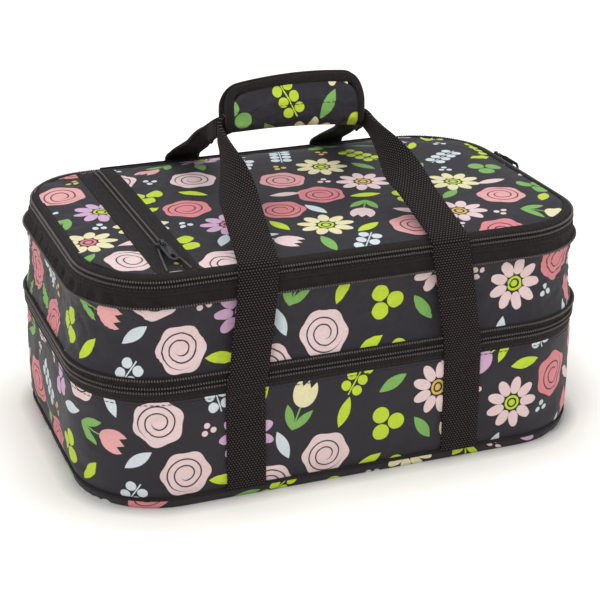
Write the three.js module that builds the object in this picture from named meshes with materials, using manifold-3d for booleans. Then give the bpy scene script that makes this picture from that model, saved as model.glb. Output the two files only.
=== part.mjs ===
// Casserole carrier: an insulated two-deck bag with zips and a webbing handle.
// Millimetres, +Z up, the base on z = 0, the long side along X and the front towards -Y.
import * as THREE from "three";
import Module from "manifold-3d";

const wasm = await Module();
wasm.setup();

// Body, measured over the cloth walls.
const LENGTH = 406;
const DEPTH = 266;
const CORNER_RADIUS = 68;
const CORNER_STEPS = 6;

// Layers, and the room that a seam leaves between two of them.
const FABRIC = 1.5;
const WALL_FOAM = 5;
const LINER = 1;
const SEAM = 0.3;

// Lower case, from the table up.
const BASE_PAD = 6;
const BASE_EDGE = 5;
const BASE_BOARD = 2;
const PIPING = 2.8;
const LOWER_WALL = 76.7;
const ZIP_TAPE = 9;

// Deck and upper frame.
const DECK_BAND = 9.3;
const DIVIDER = 5;
const GUSSET = 51;
const GUSSET_RECESS = 2;
const GUSSET_FOLD = 12;
const UPPER_BAND = 17.4;
const UPPER_LEAN = 4.5;

// Lid, with a pocket behind a zip that runs from front to back.
const LID_FOAM = 1.5;
const POCKET_LINER = 0.8;
const LID_BINDING = 10;
const BINDING_STEPS = 4;
const POCKET_FROM_END = 71;
const POCKET_TAPE = 16;
const POCKET_COIL_END = 8;

// Zip coils, as half rows that stand proud of their tapes.
const COIL_WIDTH = 2.4;
const COIL_RISE = 1.8;
const COIL_BEVEL = 0.6;
const HINGE_LENGTH = 250;
const HINGE_STRIP = 7;

// Zip sliders and their pulls.
const SLIDER_LENGTH = 11;
const SLIDER_WIDTH = 8.6;
const SLIDER_PLATE = 1.8;
const BRIDGE_LENGTH = 8;
const BRIDGE_WIDTH = 2.6;
const BRIDGE_RISE = 3.4;
const BRIDGE_BAR = 1.4;
const PULL_LENGTH = 34;
const PULL_WIDTH = 7.5;
const PULL_THICKNESS = 1.2;
const PULL_BAR = 1.2;
const PULL_PLAY = 0.5;
const PULL_EYE_LENGTH = 8;
const PULL_EYE_WIDTH = 3;
const POCKET_SLIDER_Y = -80;
const LID_SLIDER_Y = 50;
const LOWER_SLIDER_Y = 20;
const EXPANSION_SLIDER_X = 20;

// Webbing straps: sewn up the lower wall, then free, then a loop through the grip.
const STRAP_WIDTH = 30;
const STRAP_THICKNESS = 2;
const STRAP_CENTRE_X = -3;
const BACK_CENTRE_X = 12;
const STRAP_FOOT_X = 86;
const STRAP_LID_X = 74;
const STRAP_STEP = 4.5;
const STRAP_STAND = 3.5;
const STRAP_LIFT = 3;
const STRAP_EDGE_BEND = 16;
const STRAP_GRIP_BEND = 9;
const STRAP_GRIP_RUN = 5;
const STRAP_SAG = 7;
const STRAP_TWIST_FROM = 0.25;

// Grip: two padded flaps folded round both loops and closed along the top.
const HAND_ROOM = 58;
const GRIP_LENGTH = 114;
const GRIP_HEIGHT = 40;
const GRIP_SHOULDER = 20;
const GRIP_CORNER = 21;
const GRIP_CROWN = 4;
const GRIP_PAD = 7;
const GRIP_FOLD = 3.5;
const GRIP_FOLD_LENGTH = 72;
const GRIP_BINDING = 6;
const HOOK_LENGTH = 60;
const HOOK_HEIGHT = 12;

// Heights worked out from the stack above.
const PIPING_Z = BASE_PAD + SEAM;
const WALL_Z = PIPING_Z + PIPING + SEAM;
const WALL_TOP = WALL_Z + LOWER_WALL;
const TAPE_Z = WALL_TOP + SEAM;
const TAPE_TOP = TAPE_Z + ZIP_TAPE;
const DECK_Z = TAPE_TOP + SEAM;
const DECK_TOP = DECK_Z + DECK_BAND;
const GUSSET_Z = DECK_TOP + SEAM;
const GUSSET_TOP = GUSSET_Z + GUSSET;
const UPPER_Z = GUSSET_TOP + SEAM;
const UPPER_TOP = UPPER_Z + UPPER_BAND;
const LID_Z = UPPER_TOP + SEAM;
const LID_LINER_Z = LID_Z + SEAM;
const LID_FOAM_Z = LID_LINER_Z + LINER + SEAM;
const POCKET_LINER_Z = LID_FOAM_Z + LID_FOAM + SEAM;
const LID_PANEL_Z = POCKET_LINER_Z + POCKET_LINER + SEAM;
const LID_TOP = LID_PANEL_Z + FABRIC;
const DECK_HINGE_Z = TAPE_TOP + SEAM / 2;
const LID_HINGE_Z = UPPER_TOP + SEAM / 2;
const GRIP_Z = LID_TOP + HAND_ROOM;
const LOOP_Z = GRIP_Z + GRIP_FOLD + SEAM + STRAP_WIDTH / 4;

// Places of the straps, of the grip's layers and of the pocket's zip. In the grip a strap is doubled.
const FOOT_OUT = SEAM + STRAP_THICKNESS / 2;
const FREE_OUT = SEAM + COIL_RISE + SEAM + STRAP_THICKNESS / 2;
const LOOP_Y = SEAM / 2 + STRAP_THICKNESS;
const GRIP_FACE = LOOP_Y + STRAP_THICKNESS + SEAM;
const POCKET_ZIP_X = POCKET_FROM_END - LENGTH / 2;

const CLOTH = { color: 0x2c2a2e, roughness: 0.8, metalness: 0 };
const BLACK = { color: 0x191716, roughness: 0.85, metalness: 0 };
const WEBBING = { color: 0x1b1918, roughness: 0.75, metalness: 0 };
const COIL = { color: 0x141313, roughness: 0.5, metalness: 0 };
const METAL = { color: 0x161616, roughness: 0.4, metalness: 0.8 };
const FOIL = { color: 0xb9bcc0, roughness: 0.35, metalness: 0.6 };
const FOAM = { color: 0xe6e4de, roughness: 0.9, metalness: 0 };
const BOARD = { color: 0x2a2a2a, roughness: 0.7, metalness: 0 };

// A closed solid through rows of points, with the open ends filled and the faces turned outwards.
function skin(rows, { rowsClose, pointsClose }) {
  const corners = [];
  const count = rows[0].length;
  const at = (row, point) => rows[row % rows.length][point % count];
  const rowSpans = rowsClose ? rows.length : rows.length - 1;
  const pointSpans = pointsClose ? count : count - 1;
  for (let row = 0; row < rowSpans; row++) {
    for (let point = 0; point < pointSpans; point++) {
      const quad = [at(row, point), at(row, point + 1), at(row + 1, point + 1), at(row + 1, point)];
      corners.push(quad[0], quad[1], quad[2], quad[0], quad[2], quad[3]);
    }
  }
  const fill = (loop) => {
    const centre = loop.reduce((sum, p) => sum.add(p), new THREE.Vector3()).divideScalar(loop.length);
    loop.forEach((p, i) => corners.push(centre, p, loop[(i + 1) % loop.length]));
  };
  if (!rowsClose) {
    fill([...rows[0]].reverse());
    fill(rows.at(-1));
  }
  if (!pointsClose) {
    fill(rows.map((row) => row[0]));
    fill(rows.map((row) => row.at(-1)).reverse());
  }
  let volume = 0;
  for (let i = 0; i < corners.length; i += 3) {
    volume += corners[i].dot(new THREE.Vector3().crossVectors(corners[i + 1], corners[i + 2]));
  }
  if (volume < 0) corners.reverse();
  const geometry = new THREE.BufferGeometry().setFromPoints(corners);
  geometry.computeVertexNormals();
  return geometry;
}

// The upper frame stands in from the lower case, and the gusset leans in to meet it.
const lean = (z) => UPPER_LEAN * THREE.MathUtils.clamp((z - GUSSET_Z) / GUSSET, 0, 1);

// The body's plan, drawn inwards by an inset: back left corner first, then round by the front.
function plan(inset, z) {
  const drawn = inset + lean(z);
  const radius = Math.max(CORNER_RADIUS - drawn, 1);
  const centreX = LENGTH / 2 - drawn - radius;
  const centreY = DEPTH / 2 - drawn - radius;
  const points = [];
  for (let corner = 0; corner < 4; corner++) {
    const signX = corner < 2 ? -1 : 1;
    const signY = corner % 3 === 0 ? 1 : -1;
    for (let step = 0; step <= CORNER_STEPS; step++) {
      const angle = (Math.PI / 2) * (1 + corner + step / CORNER_STEPS);
      const x = signX * centreX + radius * Math.cos(angle);
      const y = signY * centreY + radius * Math.sin(angle);
      points.push(new THREE.Vector3(x, y, z));
    }
  }
  return points;
}

// The same plan left open along the hinge at the back.
function openPlan(inset, z) {
  const back = DEPTH / 2 - inset - lean(z);
  const start = new THREE.Vector3(-HINGE_LENGTH / 2, back, z);
  const end = new THREE.Vector3(HINGE_LENGTH / 2, back, z);
  return [start, ...plan(inset, z), end];
}

const band = (profile) =>
  skin(profile.map(([inset, z]) => plan(inset, z)), { rowsClose: true, pointsClose: true });
const openBand = (profile) =>
  skin(profile.map(([inset, z]) => openPlan(inset, z)), { rowsClose: true, pointsClose: false });
const stack = (sections) =>
  skin(sections.map(([inset, z]) => plan(inset, z)), { rowsClose: false, pointsClose: true });
const slab = (inset, z, height) => stack([[inset, z], [inset, z + height]]);

const strip = (outer, inner, z, top) => [[outer, z], [outer, top], [inner, top], [inner, z]];

// A half coil on the outside of its tape, bevelled along both outer edges.
function coilProfile(z) {
  const top = z + COIL_WIDTH;
  const root = -SEAM;
  const crown = -SEAM - COIL_RISE;
  return [
    [root, z],
    [crown + COIL_BEVEL, z],
    [crown, z + COIL_BEVEL],
    [crown, top - COIL_BEVEL],
    [crown + COIL_BEVEL, top],
    [root, top],
  ];
}

function block(x, y, z) {
  const geometry = new THREE.BoxGeometry(x[1] - x[0], y[1] - y[0], z[1] - z[0]);
  return geometry.translate((x[0] + x[1]) / 2, (y[0] + y[1]) / 2, (z[0] + z[1]) / 2);
}

function toSolid(geometry) {
  const source = geometry.index ? geometry.toNonIndexed() : geometry;
  const vertProperties = new Float32Array(source.getAttribute("position").array);
  const triVerts = Uint32Array.from({ length: vertProperties.length / 3 }, (_, i) => i);
  const mesh = new wasm.Mesh({ numProp: 3, vertProperties, triVerts });
  mesh.merge();
  return new wasm.Manifold(mesh);
}

function fromSolid(solid) {
  const mesh = solid.getMesh();
  const geometry = new THREE.BufferGeometry();
  geometry.setAttribute("position", new THREE.BufferAttribute(mesh.vertProperties, mesh.numProp));
  geometry.setIndex(new THREE.BufferAttribute(mesh.triVerts, 1));
  geometry.computeVertexNormals();
  return geometry;
}

const join = (a, b) => fromSolid(toSolid(a).add(toSolid(b)));
const cut = (a, b) => fromSolid(toSolid(a).subtract(toSolid(b)));
const common = (a, b) => fromSolid(toSolid(a).intersect(toSolid(b)));

const group = (name, ...children) => {
  const made = new THREE.Group();
  made.name = name;
  if (children.length) made.add(...children);
  return made;
};

const piece = (name, geometry, look) => {
  const mesh = new THREE.Mesh(geometry, new THREE.MeshStandardMaterial(look));
  mesh.name = name;
  return mesh;
};

// Webbing along stations, each with its centre, the way its width lies and how far it is doubled.
function webbing(stations) {
  const rows = stations.map(({ centre, across, doubled }, i) => {
    const before = stations[Math.max(i - 1, 0)].centre;
    const after = stations[Math.min(i + 1, stations.length - 1)].centre;
    const along = after.clone().sub(before).normalize();
    const wide = across.clone().setLength((STRAP_WIDTH / 2) * (1 - doubled / 2));
    const thick = (STRAP_THICKNESS / 2) * (1 + doubled);
    const out = new THREE.Vector3().crossVectors(along, wide).setLength(thick);
    return [
      centre.clone().sub(wide).sub(out),
      centre.clone().add(wide).sub(out),
      centre.clone().add(wide).add(out),
      centre.clone().sub(wide).add(out),
    ];
  });
  return skin(rows, { rowsClose: false, pointsClose: true });
}

// Side is -1 for the left strap and 1 for the right one; face is -1 at the front and 1 at the back.
const strapCentre = (face) => (face < 0 ? STRAP_CENTRE_X : BACK_CENTRE_X);

function strapFoot(side, face) {
  const x = strapCentre(face) + side * STRAP_FOOT_X;
  const inner = face * (DEPTH / 2 + SEAM);
  const outer = face * (DEPTH / 2 + SEAM + STRAP_THICKNESS);
  const y = [Math.min(inner, outer), Math.max(inner, outer)];
  return block([x - STRAP_WIDTH / 2, x + STRAP_WIDTH / 2], y, [WALL_Z, WALL_TOP]);
}

function strapUpright(side, face) {
  const foot = TAPE_Z;
  const top = LID_HINGE_Z - SEAM / 2;
  const level = (z, out) => {
    const share = (z - foot) / (top - foot);
    const x = strapCentre(face) + side * THREE.MathUtils.lerp(STRAP_FOOT_X, STRAP_LID_X, share);
    const y = face * (DEPTH / 2 + out - lean(z));
    const wide = STRAP_WIDTH / 2;
    const thick = STRAP_THICKNESS / 2;
    return [
      new THREE.Vector3(x - wide, y - thick, z),
      new THREE.Vector3(x + wide, y - thick, z),
      new THREE.Vector3(x + wide, y + thick, z),
      new THREE.Vector3(x - wide, y + thick, z),
    ];
  };
  const levels = [
    level(foot, FOOT_OUT),
    level(foot + STRAP_STEP, FREE_OUT),
    level(GUSSET_Z, FREE_OUT),
    level(UPPER_Z, FREE_OUT),
    level(top, FREE_OUT),
  ];
  return skin(levels, { rowsClose: false, pointsClose: true });
}

// Half of a loop: up over the lid's edge, a quarter twist on the way to the grip, and doubled in it.
function halfLoop(side, face) {
  const point = (x, y, z) => new THREE.Vector3(STRAP_CENTRE_X + side * x, face * y, z);
  const lidX = STRAP_LID_X + side * (strapCentre(face) - STRAP_CENTRE_X);
  const free = DEPTH / 2 + FREE_OUT - UPPER_LEAN;
  const gripX = GRIP_LENGTH / 2;
  const foldX = GRIP_FOLD_LENGTH / 2 + STRAP_THICKNESS;
  const fall = STRAP_SAG / (gripX + STRAP_GRIP_RUN - foldX);
  const start = point(lidX, free, LID_HINGE_Z + SEAM / 2);
  const edge = point(lidX, free, LID_TOP + STRAP_LIFT);
  const turn = point(gripX + STRAP_GRIP_RUN, LOOP_Y, LOOP_Z - STRAP_SAG);
  const slope = turn.clone().sub(edge).normalize();
  const overStart = start.clone().add(new THREE.Vector3(0, 0, STRAP_STAND));
  const overEnd = edge.clone().addScaledVector(slope, STRAP_EDGE_BEND);
  const turnStart = turn.clone().addScaledVector(slope, -STRAP_GRIP_BEND);
  const turnEnd = point(gripX, LOOP_Y, LOOP_Z - fall * (gripX - foldX));
  const flat = new THREE.Vector3(-side, 0, 0);
  const upright = new THREE.Vector3(0, 0, 1);
  const half = [{ centre: start, across: flat, doubled: 0 }];
  const follow = (curve, steps, turned) => {
    for (let step = 0; step <= steps; step++) {
      const share = step / steps;
      const twist = THREE.MathUtils.smoothstep(turned(share), 0, 1);
      const across = flat.clone().lerp(upright, twist).normalize();
      half.push({ centre: curve.getPoint(share), across, doubled: twist * twist });
    }
  };
  follow(new THREE.QuadraticBezierCurve3(overStart, edge, overEnd), 5, () => 0);
  half.pop();
  const twistAt = (share) => (share - STRAP_TWIST_FROM) / (1 - STRAP_TWIST_FROM);
  follow(new THREE.LineCurve3(overEnd, turnStart), 10, twistAt);
  half.pop();
  follow(new THREE.QuadraticBezierCurve3(turnStart, turn, turnEnd), 5, () => 1);
  half.push({ centre: point(foldX, LOOP_Y, LOOP_Z), across: upright, doubled: 1 });
  return half;
}

const strapLoop = (face) => webbing([...halfLoop(-1, face), ...halfLoop(1, face).reverse()]);

// The outline of a grip flap above its fold, drawn inwards by an inset on its three bound sides.
function gripOutline(inset, foot) {
  const half = GRIP_LENGTH / 2 - inset;
  const height = GRIP_HEIGHT - inset;
  const corner = half - GRIP_CORNER;
  const brow = height - GRIP_CROWN;
  const shape = new THREE.Shape();
  shape.moveTo(-half, foot);
  shape.lineTo(half, foot);
  shape.lineTo(half, GRIP_SHOULDER);
  shape.quadraticCurveTo(half, brow, corner, brow);
  shape.quadraticCurveTo(0, height + GRIP_CROWN, -corner, brow);
  shape.quadraticCurveTo(-half, brow, -half, GRIP_SHOULDER);
  shape.closePath();
  return shape;
}

const gripPlate = (inset, foot, depth) =>
  new THREE.ExtrudeGeometry(gripOutline(inset, foot), { depth, bevelEnabled: false, curveSegments: 6 })
    .rotateX(Math.PI / 2)
    .translate(STRAP_CENTRE_X, depth, 0);

// A flap's cloth and binding stand on the plane y = 0 and reach towards +Y, with the fold at z = 0.
const flapCloth = () => gripPlate(GRIP_BINDING + SEAM, 0, GRIP_PAD);
const flapBinding = () => cut(gripPlate(0, 0, GRIP_PAD), gripPlate(GRIP_BINDING, -SEAM, GRIP_PAD * 3)
  .translate(0, -GRIP_PAD, 0));

function gripBack() {
  const x = [STRAP_CENTRE_X - GRIP_FOLD_LENGTH / 2, STRAP_CENTRE_X + GRIP_FOLD_LENGTH / 2];
  const fold = block(x, [-GRIP_FACE, GRIP_FACE + GRIP_PAD], [GRIP_Z, GRIP_Z + GRIP_FOLD]);
  return join(flapCloth().translate(0, GRIP_FACE, GRIP_Z), fold);
}

// A slider stands on its tape at z = 0, runs along Y and carries a bridge that traps the pull's bar.
const COIL_TOP = SEAM + COIL_RISE;
const PLATE_Z = COIL_TOP + SEAM;
const PLATE_TOP = PLATE_Z + SLIDER_PLATE;
const PULL_AXIS_Z = PLATE_TOP + PULL_PLAY + PULL_BAR / 2;

function sliderBody() {
  const halfLength = SLIDER_LENGTH / 2;
  const halfWidth = SLIDER_WIDTH / 2;
  const waist = halfWidth * 0.7;
  const shield = new THREE.Shape();
  shield.moveTo(-waist, -halfLength);
  shield.lineTo(waist, -halfLength);
  shield.quadraticCurveTo(waist, 0, halfWidth, halfLength * 0.4);
  shield.quadraticCurveTo(halfWidth, halfLength, 0, halfLength);
  shield.quadraticCurveTo(-halfWidth, halfLength, -halfWidth, halfLength * 0.4);
  shield.quadraticCurveTo(-waist, 0, -waist, -halfLength);
  const plate = new THREE.ExtrudeGeometry(shield, {
    depth: SLIDER_PLATE,
    bevelEnabled: false,
    curveSegments: 4,
  }).translate(0, 0, PLATE_Z);
  const top = BRIDGE_RISE + BRIDGE_BAR;
  const arch = new THREE.Shape();
  arch.moveTo(-BRIDGE_LENGTH / 2, 0);
  arch.lineTo(BRIDGE_LENGTH / 2, 0);
  arch.quadraticCurveTo(BRIDGE_LENGTH / 2, top, 0, top);
  arch.quadraticCurveTo(-BRIDGE_LENGTH / 2, top, -BRIDGE_LENGTH / 2, 0);
  const bay = new THREE.Path();
  const bayHalf = BRIDGE_LENGTH / 2 - BRIDGE_BAR;
  const bayFoot = SLIDER_PLATE / 2 + PULL_PLAY / 2;
  const bayTop = top - BRIDGE_BAR;
  bay.moveTo(-bayHalf, bayFoot);
  bay.quadraticCurveTo(-bayHalf, bayTop, 0, bayTop);
  bay.quadraticCurveTo(bayHalf, bayTop, bayHalf, bayFoot);
  bay.closePath();
  arch.holes.push(bay);
  const bridge = new THREE.ExtrudeGeometry(arch, {
    depth: BRIDGE_WIDTH,
    bevelEnabled: false,
    curveSegments: 5,
  })
    .translate(0, 0, -BRIDGE_WIDTH / 2)
    .applyMatrix4(new THREE.Matrix4().makeBasis(
      new THREE.Vector3(0, 1, 0),
      new THREE.Vector3(0, 0, 1),
      new THREE.Vector3(1, 0, 0),
    ))
    .translate(0, 0, PLATE_Z + SLIDER_PLATE / 2);
  return join(plate, bridge);
}

// The pull lies along -Y from its bar, with a slot for the bridge and an eye near its tip.
function pullTab() {
  const half = PULL_WIDTH / 2;
  const slotHalf = BRIDGE_WIDTH / 2 + PULL_PLAY;
  const slotEnd = -BRIDGE_LENGTH / 2 - BRIDGE_BAR - PULL_PLAY;
  const neck = slotHalf + PULL_BAR;
  const tab = new THREE.Shape();
  tab.moveTo(-neck, PULL_BAR / 2);
  tab.lineTo(-neck, slotEnd - PULL_BAR);
  tab.lineTo(-half, slotEnd - half);
  tab.lineTo(-half, half - PULL_LENGTH);
  tab.absarc(0, half - PULL_LENGTH, half, Math.PI, Math.PI * 2, false);
  tab.lineTo(half, slotEnd - half);
  tab.lineTo(neck, slotEnd - PULL_BAR);
  tab.lineTo(neck, PULL_BAR / 2);
  tab.closePath();
  const slot = new THREE.Path();
  slot.moveTo(-slotHalf, -PULL_BAR / 2);
  slot.lineTo(-slotHalf, slotEnd);
  slot.lineTo(slotHalf, slotEnd);
  slot.lineTo(slotHalf, -PULL_BAR / 2);
  slot.closePath();
  const eye = new THREE.Path();
  const eyeRadius = PULL_EYE_WIDTH / 2;
  const eyeFoot = half - PULL_LENGTH;
  const eyeHead = eyeFoot + PULL_EYE_LENGTH - PULL_EYE_WIDTH;
  eye.absarc(0, eyeHead, eyeRadius, 0, Math.PI, false);
  eye.absarc(0, eyeFoot, eyeRadius, Math.PI, Math.PI * 2, false);
  eye.closePath();
  tab.holes.push(slot, eye);
  return new THREE.ExtrudeGeometry(tab, { depth: PULL_THICKNESS, bevelEnabled: false, curveSegments: 6 })
    .translate(0, 0, PULL_AXIS_Z - PULL_THICKNESS / 2);
}

function slider(name, position, across, along, out) {
  const made = group(
    name,
    piece(`${name}_slider`, sliderBody(), METAL),
    piece(`${name}_pull`, pullTab(), METAL),
  );
  made.setRotationFromMatrix(new THREE.Matrix4().makeBasis(across, along, out));
  made.position.copy(position);
  return made;
}

const X = new THREE.Vector3(1, 0, 0);
const Y = new THREE.Vector3(0, 1, 0);
const Z = new THREE.Vector3(0, 0, 1);
const DOWN = new THREE.Vector3(0, 0, -1);

const hingeStrip = (z) =>
  block(
    [SEAM - HINGE_LENGTH / 2, HINGE_LENGTH / 2 - SEAM],
    [DEPTH / 2 + SEAM - lean(z), DEPTH / 2 + SEAM + LINER - lean(z)],
    [z - HINGE_STRIP / 2, z + HINGE_STRIP / 2],
  );

// Lower case.
const FOAM_INSET = FABRIC + SEAM;
const LINER_INSET = FOAM_INSET + WALL_FOAM + SEAM;
const LINER_Z = PIPING_Z + BASE_BOARD + SEAM;
const PIPING_SIDES = 8;
const pipingProfile = Array.from({ length: PIPING_SIDES }, (_, side) => {
  const angle = (2 * Math.PI * side) / PIPING_SIDES;
  const radius = PIPING / 2;
  return [FABRIC / 2 + radius * Math.cos(angle), PIPING_Z + radius + radius * Math.sin(angle)];
});

const lowerCase = group(
  "lower_case",
  piece("base_panel", stack([[BASE_EDGE, 0], [BASE_EDGE / 4, BASE_PAD / 3], [0, BASE_PAD]]), CLOTH),
  piece("base_board", slab(LINER_INSET, PIPING_Z, BASE_BOARD), BOARD),
  piece("bottom_piping", band(pipingProfile), BLACK),
  piece("lower_wall", band(strip(0, FABRIC, WALL_Z, WALL_TOP)), CLOTH),
  piece("lower_foam", band(strip(FOAM_INSET, FOAM_INSET + WALL_FOAM, WALL_Z, TAPE_TOP - SEAM)), FOAM),
  piece(
    "lower_liner",
    stack([
      [LINER_INSET, LINER_Z],
      [LINER_INSET, TAPE_TOP],
      [LINER_INSET + LINER, TAPE_TOP],
      [LINER_INSET + LINER, LINER_Z + LINER],
    ]),
    FOIL,
  ),
  piece("lower_zip_tape", band(strip(0, FABRIC, TAPE_Z, TAPE_TOP)), BLACK),
  piece("lower_zip_coil", openBand(coilProfile(TAPE_TOP - COIL_WIDTH)), COIL),
  piece("deck_hinge_strip", hingeStrip(DECK_HINGE_Z), BLACK),
  piece("front_strap_foot_left", strapFoot(-1, -1), WEBBING),
  piece("front_strap_foot_right", strapFoot(1, -1), WEBBING),
  piece("back_strap_foot_left", strapFoot(-1, 1), WEBBING),
  piece("back_strap_foot_right", strapFoot(1, 1), WEBBING),
  slider("lower", new THREE.Vector3(LENGTH / 2, LOWER_SLIDER_Y, DECK_HINGE_Z), DOWN, Y, X),
);

// Deck.
const gussetProfile = [
  [FABRIC / 2, GUSSET_Z],
  [GUSSET_RECESS, GUSSET_Z + GUSSET_FOLD],
  [GUSSET_RECESS, GUSSET_TOP - GUSSET_FOLD],
  [FABRIC / 2, GUSSET_TOP],
  [FABRIC / 2 + FABRIC, GUSSET_TOP],
  [GUSSET_RECESS + FABRIC, GUSSET_TOP - GUSSET_FOLD],
  [GUSSET_RECESS + FABRIC, GUSSET_Z + GUSSET_FOLD],
  [FABRIC / 2 + FABRIC, GUSSET_Z],
];
const EXPANSION_Z = DECK_TOP - COIL_WIDTH;

const deck = group(
  "deck",
  piece("deck_band", band(strip(0, FABRIC, DECK_Z, DECK_TOP)), BLACK),
  piece("deck_divider", slab(FABRIC + SEAM, DECK_Z + SEAM, DIVIDER), FOIL),
  piece("deck_zip_coil", openBand(coilProfile(DECK_Z)), COIL),
  piece("expansion_coil_lower", band(coilProfile(EXPANSION_Z)), COIL),
  piece("gusset", band(gussetProfile), CLOTH),
  slider("expansion", new THREE.Vector3(EXPANSION_SLIDER_X, DEPTH / 2, EXPANSION_Z + COIL_WIDTH / 2), Z, X, Y),
);

// Upper frame.
const upperFrame = group(
  "upper_frame",
  piece("upper_band", band(strip(0, FABRIC, UPPER_Z, UPPER_TOP)), BLACK),
  piece("expansion_coil_upper", band(coilProfile(UPPER_Z)), COIL),
  piece("lid_zip_coil_lower", openBand(coilProfile(UPPER_TOP - COIL_WIDTH)), COIL),
  piece("lid_hinge_strip", hingeStrip(LID_HINGE_Z), BLACK),
  slider("lid", new THREE.Vector3(LENGTH / 2 - UPPER_LEAN, LID_SLIDER_Y, LID_HINGE_Z), DOWN, Y, X),
);

// Lid. Its binding stands straight past the liner, then rolls over to the panel.
const ROLL_Z = LID_FOAM_Z;
const roll = (foot, reach, top) =>
  Array.from({ length: BINDING_STEPS + 1 }, (_, step) => {
    const angle = (Math.PI / 2) * (step / BINDING_STEPS);
    return [foot + reach * (1 - Math.cos(angle)), ROLL_Z + (top - ROLL_Z) * Math.sin(angle)];
  });
const bindingProfile = [
  [0, LID_Z],
  ...roll(0, LID_BINDING, LID_TOP),
  ...roll(FABRIC, LID_BINDING - FABRIC, LID_TOP - FABRIC).reverse(),
  [FABRIC, LID_Z],
];
const PANEL_INSET = LID_BINDING + SEAM;
const lidSheet = () => slab(PANEL_INSET, LID_PANEL_Z, FABRIC);
const lidPart = (from, to) => common(lidSheet(), block([from, to], [-DEPTH, DEPTH], [0, LID_TOP * 2]));

const pocketCoil = (from, to) => {
  const run = DEPTH / 2 - UPPER_LEAN - PANEL_INSET - POCKET_COIL_END;
  return block([from, to], [-run, run], [LID_TOP + SEAM, LID_TOP + COIL_TOP]);
};
const ZIP_SPLIT_LEFT = POCKET_ZIP_X - SEAM / 2;
const ZIP_SPLIT_RIGHT = POCKET_ZIP_X + SEAM / 2;
const TAPE_LEFT = POCKET_ZIP_X - POCKET_TAPE;
const TAPE_RIGHT = POCKET_ZIP_X + POCKET_TAPE;

const lid = group(
  "lid",
  piece("lid_binding", band(bindingProfile), BLACK),
  piece("lid_main_panel", lidPart(TAPE_RIGHT + SEAM, LENGTH), CLOTH),
  piece("lid_end_panel", lidPart(-LENGTH, TAPE_LEFT - SEAM), CLOTH),
  piece("pocket_tape_left", lidPart(TAPE_LEFT, ZIP_SPLIT_LEFT), BLACK),
  piece("pocket_tape_right", lidPart(ZIP_SPLIT_RIGHT, TAPE_RIGHT), BLACK),
  piece("pocket_coil_left", pocketCoil(ZIP_SPLIT_LEFT - COIL_WIDTH, ZIP_SPLIT_LEFT), COIL),
  piece("pocket_coil_right", pocketCoil(ZIP_SPLIT_RIGHT, ZIP_SPLIT_RIGHT + COIL_WIDTH), COIL),
  piece("pocket_liner", slab(PANEL_INSET, POCKET_LINER_Z, POCKET_LINER), FOIL),
  piece("lid_foam", slab(PANEL_INSET, LID_FOAM_Z, LID_FOAM), FOAM),
  piece("lid_liner", slab(FABRIC + SEAM, LID_LINER_Z, LINER), FOIL),
  piece("lid_zip_coil_upper", openBand(coilProfile(LID_Z)), COIL),
  slider("pocket", new THREE.Vector3(POCKET_ZIP_X, POCKET_SLIDER_Y, LID_TOP), X, Y, Z),
);

// Handles.
const frontStrap = group(
  "front_strap",
  piece("front_upright_left", strapUpright(-1, -1), WEBBING),
  piece("front_upright_right", strapUpright(1, -1), WEBBING),
  group("front_handle", piece("front_loop", strapLoop(-1), WEBBING)),
);

const HOOK_Z = LOOP_Z + STRAP_WIDTH / 4 + SEAM;
const hookTape = (from, to) =>
  block([-HOOK_LENGTH / 2, HOOK_LENGTH / 2], [from, to], [HOOK_Z, HOOK_Z + HOOK_HEIGHT])
    .translate(STRAP_CENTRE_X, 0, 0);

const gripFlap = group(
  "grip_flap",
  piece("grip_front_panel", flapCloth().translate(0, -GRIP_FACE - GRIP_PAD, GRIP_Z), CLOTH),
  piece("grip_front_binding", flapBinding().translate(0, -GRIP_FACE - GRIP_PAD, GRIP_Z), BLACK),
  piece("grip_hook_tape", hookTape(SEAM - GRIP_FACE, -SEAM / 2), BLACK),
);

const backStrap = group(
  "back_strap",
  piece("back_upright_left", strapUpright(-1, 1), WEBBING),
  piece("back_upright_right", strapUpright(1, 1), WEBBING),
  group(
    "back_handle",
    piece("back_loop", strapLoop(1), WEBBING),
    piece("grip_back_panel", gripBack(), CLOTH),
    piece("grip_back_binding", flapBinding().translate(0, GRIP_FACE, GRIP_Z), BLACK),
    piece("grip_loop_tape", hookTape(SEAM / 2, GRIP_FACE - SEAM), BLACK),
    gripFlap,
  ),
);

upperFrame.add(lid);
deck.add(upperFrame);
lowerCase.add(deck, frontStrap, backStrap);

export default group("casserole_carrier", lowerCase);
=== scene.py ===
"""Casserole carrier: sews the cloth, zips, webbing and grip of a two-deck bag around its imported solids."""
import math

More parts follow.
